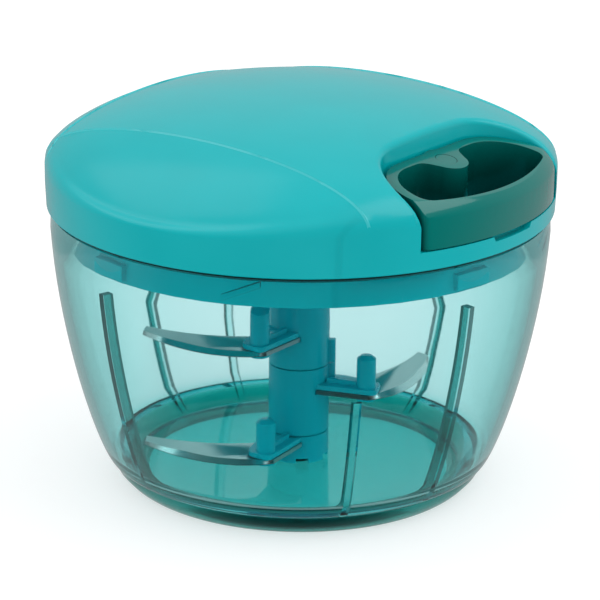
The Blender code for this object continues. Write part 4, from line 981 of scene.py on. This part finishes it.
def handle_plan(inset, front, corner_radius):
    """The handle seen from above: the pocket's corners and a front that follows the lid's side."""
    inner, half = POCKET_X + HANDLE_GAP + inset, POCKET_HALF - HANDLE_GAP - inset
    radius = POCKET_CORNER - HANDLE_GAP - inset
    reach = math.sqrt(front**2 - half**2)
    spread = math.asin(half / front)
    bow = [-spread + 0.07 + (2 * spread - 0.14) * i / 32 for i in range(33)]
    corners = [(inner, half, radius), (inner, -half, radius), (reach, -half, corner_radius)]
    corners += [(front * math.cos(a), front * math.sin(a), 0) for a in bow]
    return rounded_plan(corners + [(reach, half, corner_radius)])


plan = handle_plan(0.0, HANDLE_FRONT, 2.6 * MM)
handle = flat_shape("pull_handle_moulding", plan, HANDLE_LOW_Z, 95 * MM, handle_abs)
gap_plan = handle_plan(HANDLE_WALL, HANDLE_FRONT - HANDLE_WALL, 3.4 * MM)
opening = flat_shape("finger_gap", gap_plan, 60 * MM, 120 * MM)
handle = carve(handle, [opening], "DIFFERENCE")
at_boss = Matrix.Translation((BOSS_X, 0, 0))
boss = post("cord_boss", BOSS_RADIUS, HANDLE_LOW_Z, BOSS_TOP, 64, handle_abs)
boss.data.transform(at_boss)
wall_x = POCKET_X + HANDLE_GAP + HANDLE_WALL
fillet_y = 9.4 * MM
fillet_end = (BOSS_X + 1.8 * MM, 4.86 * MM)
fillet = curve_between(((wall_x, fillet_y), (wall_x, 6.4 * MM), (BOSS_X, 6.2 * MM), fillet_end), 9)
neck_plan = [(wall_x - 1 * MM, fillet_y)] + fillet
neck_plan += [(x, -y) for x, y in neck_plan[::-1]]
neck = flat_shape("boss_fillets", neck_plan, HANDLE_LOW_Z, BOSS_TOP, handle_abs)
handle = carve(handle, [boss, neck], "UNION")
block = [(-60 * MM, -50 * MM), (60 * MM, -50 * MM), (60 * MM, 50 * MM), (-60 * MM, 50 * MM)]
over = flat_shape("above_handle", block, 0.0, 30 * MM)
tilt = Matrix.Rotation(math.atan(HANDLE_FALL), 4, "Y")
over.data.transform(Matrix.Translation((LID_RADIUS, 0, HANDLE_FRONT_Z)) @ tilt)
handle = carve(handle, [over], "DIFFERENCE")
envelope_line = [(r, z - 0.3 * MM) for r, z in dome_line(0.0, 40)]
envelope_line += [(LID_RADIUS, 70 * MM), (0.0, 70 * MM)]
handle = carve(handle, [turned("envelope", envelope_line, handle_abs, 128)], "INTERSECT")
bm = bmesh.new()
bm.from_mesh(handle.data)
bmesh.ops.remove_doubles(bm, verts=bm.verts, dist=2e-5)
bmesh.ops.dissolve_limit(bm, angle_limit=math.radians(0.5), verts=bm.verts, edges=bm.edges)
bm.to_mesh(handle.data)
bm.free()
soft = handle.modifiers.new("edge", "BEVEL")
soft.width = HANDLE_EDGE
soft.segments = 5
soft.limit_method = "ANGLE"
soft.angle_limit = math.radians(50)
bpy.context.view_layer.update()
handle = as_plain(handle)
knot_room = post("knot_room", 2.6 * MM, 76.2 * MM, 110 * MM, 40)
knot_room.data.transform(at_boss)
cord_hole = post("cord_hole", 1.2 * MM, 34 * MM, BOSS_X, 32)
cord_hole.data.transform(along_cord)
handle = carve(handle, [knot_room, cord_hole], "DIFFERENCE")
handle.data.shade_smooth()
handle.data.set_sharp_from_angle(angle=math.radians(30))
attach(handle, "handle")
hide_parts("pull_handle")

# The plug's top lies in the handle's sloping face
plug = post("knot_plug_cap", 2.5 * MM, PLUG_LOW_Z, BOSS_TOP, 48, handle_abs)
plug.data.transform(at_boss)
for vert in plug.data.vertices:
    if vert.co.z > PLUG_LOW_Z + 1 * MM:
        vert.co.z = HANDLE_FRONT_Z + (LID_RADIUS - vert.co.x) * HANDLE_FALL - 0.05 * MM
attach(plug, "handle")
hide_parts("cord_knot_plug")
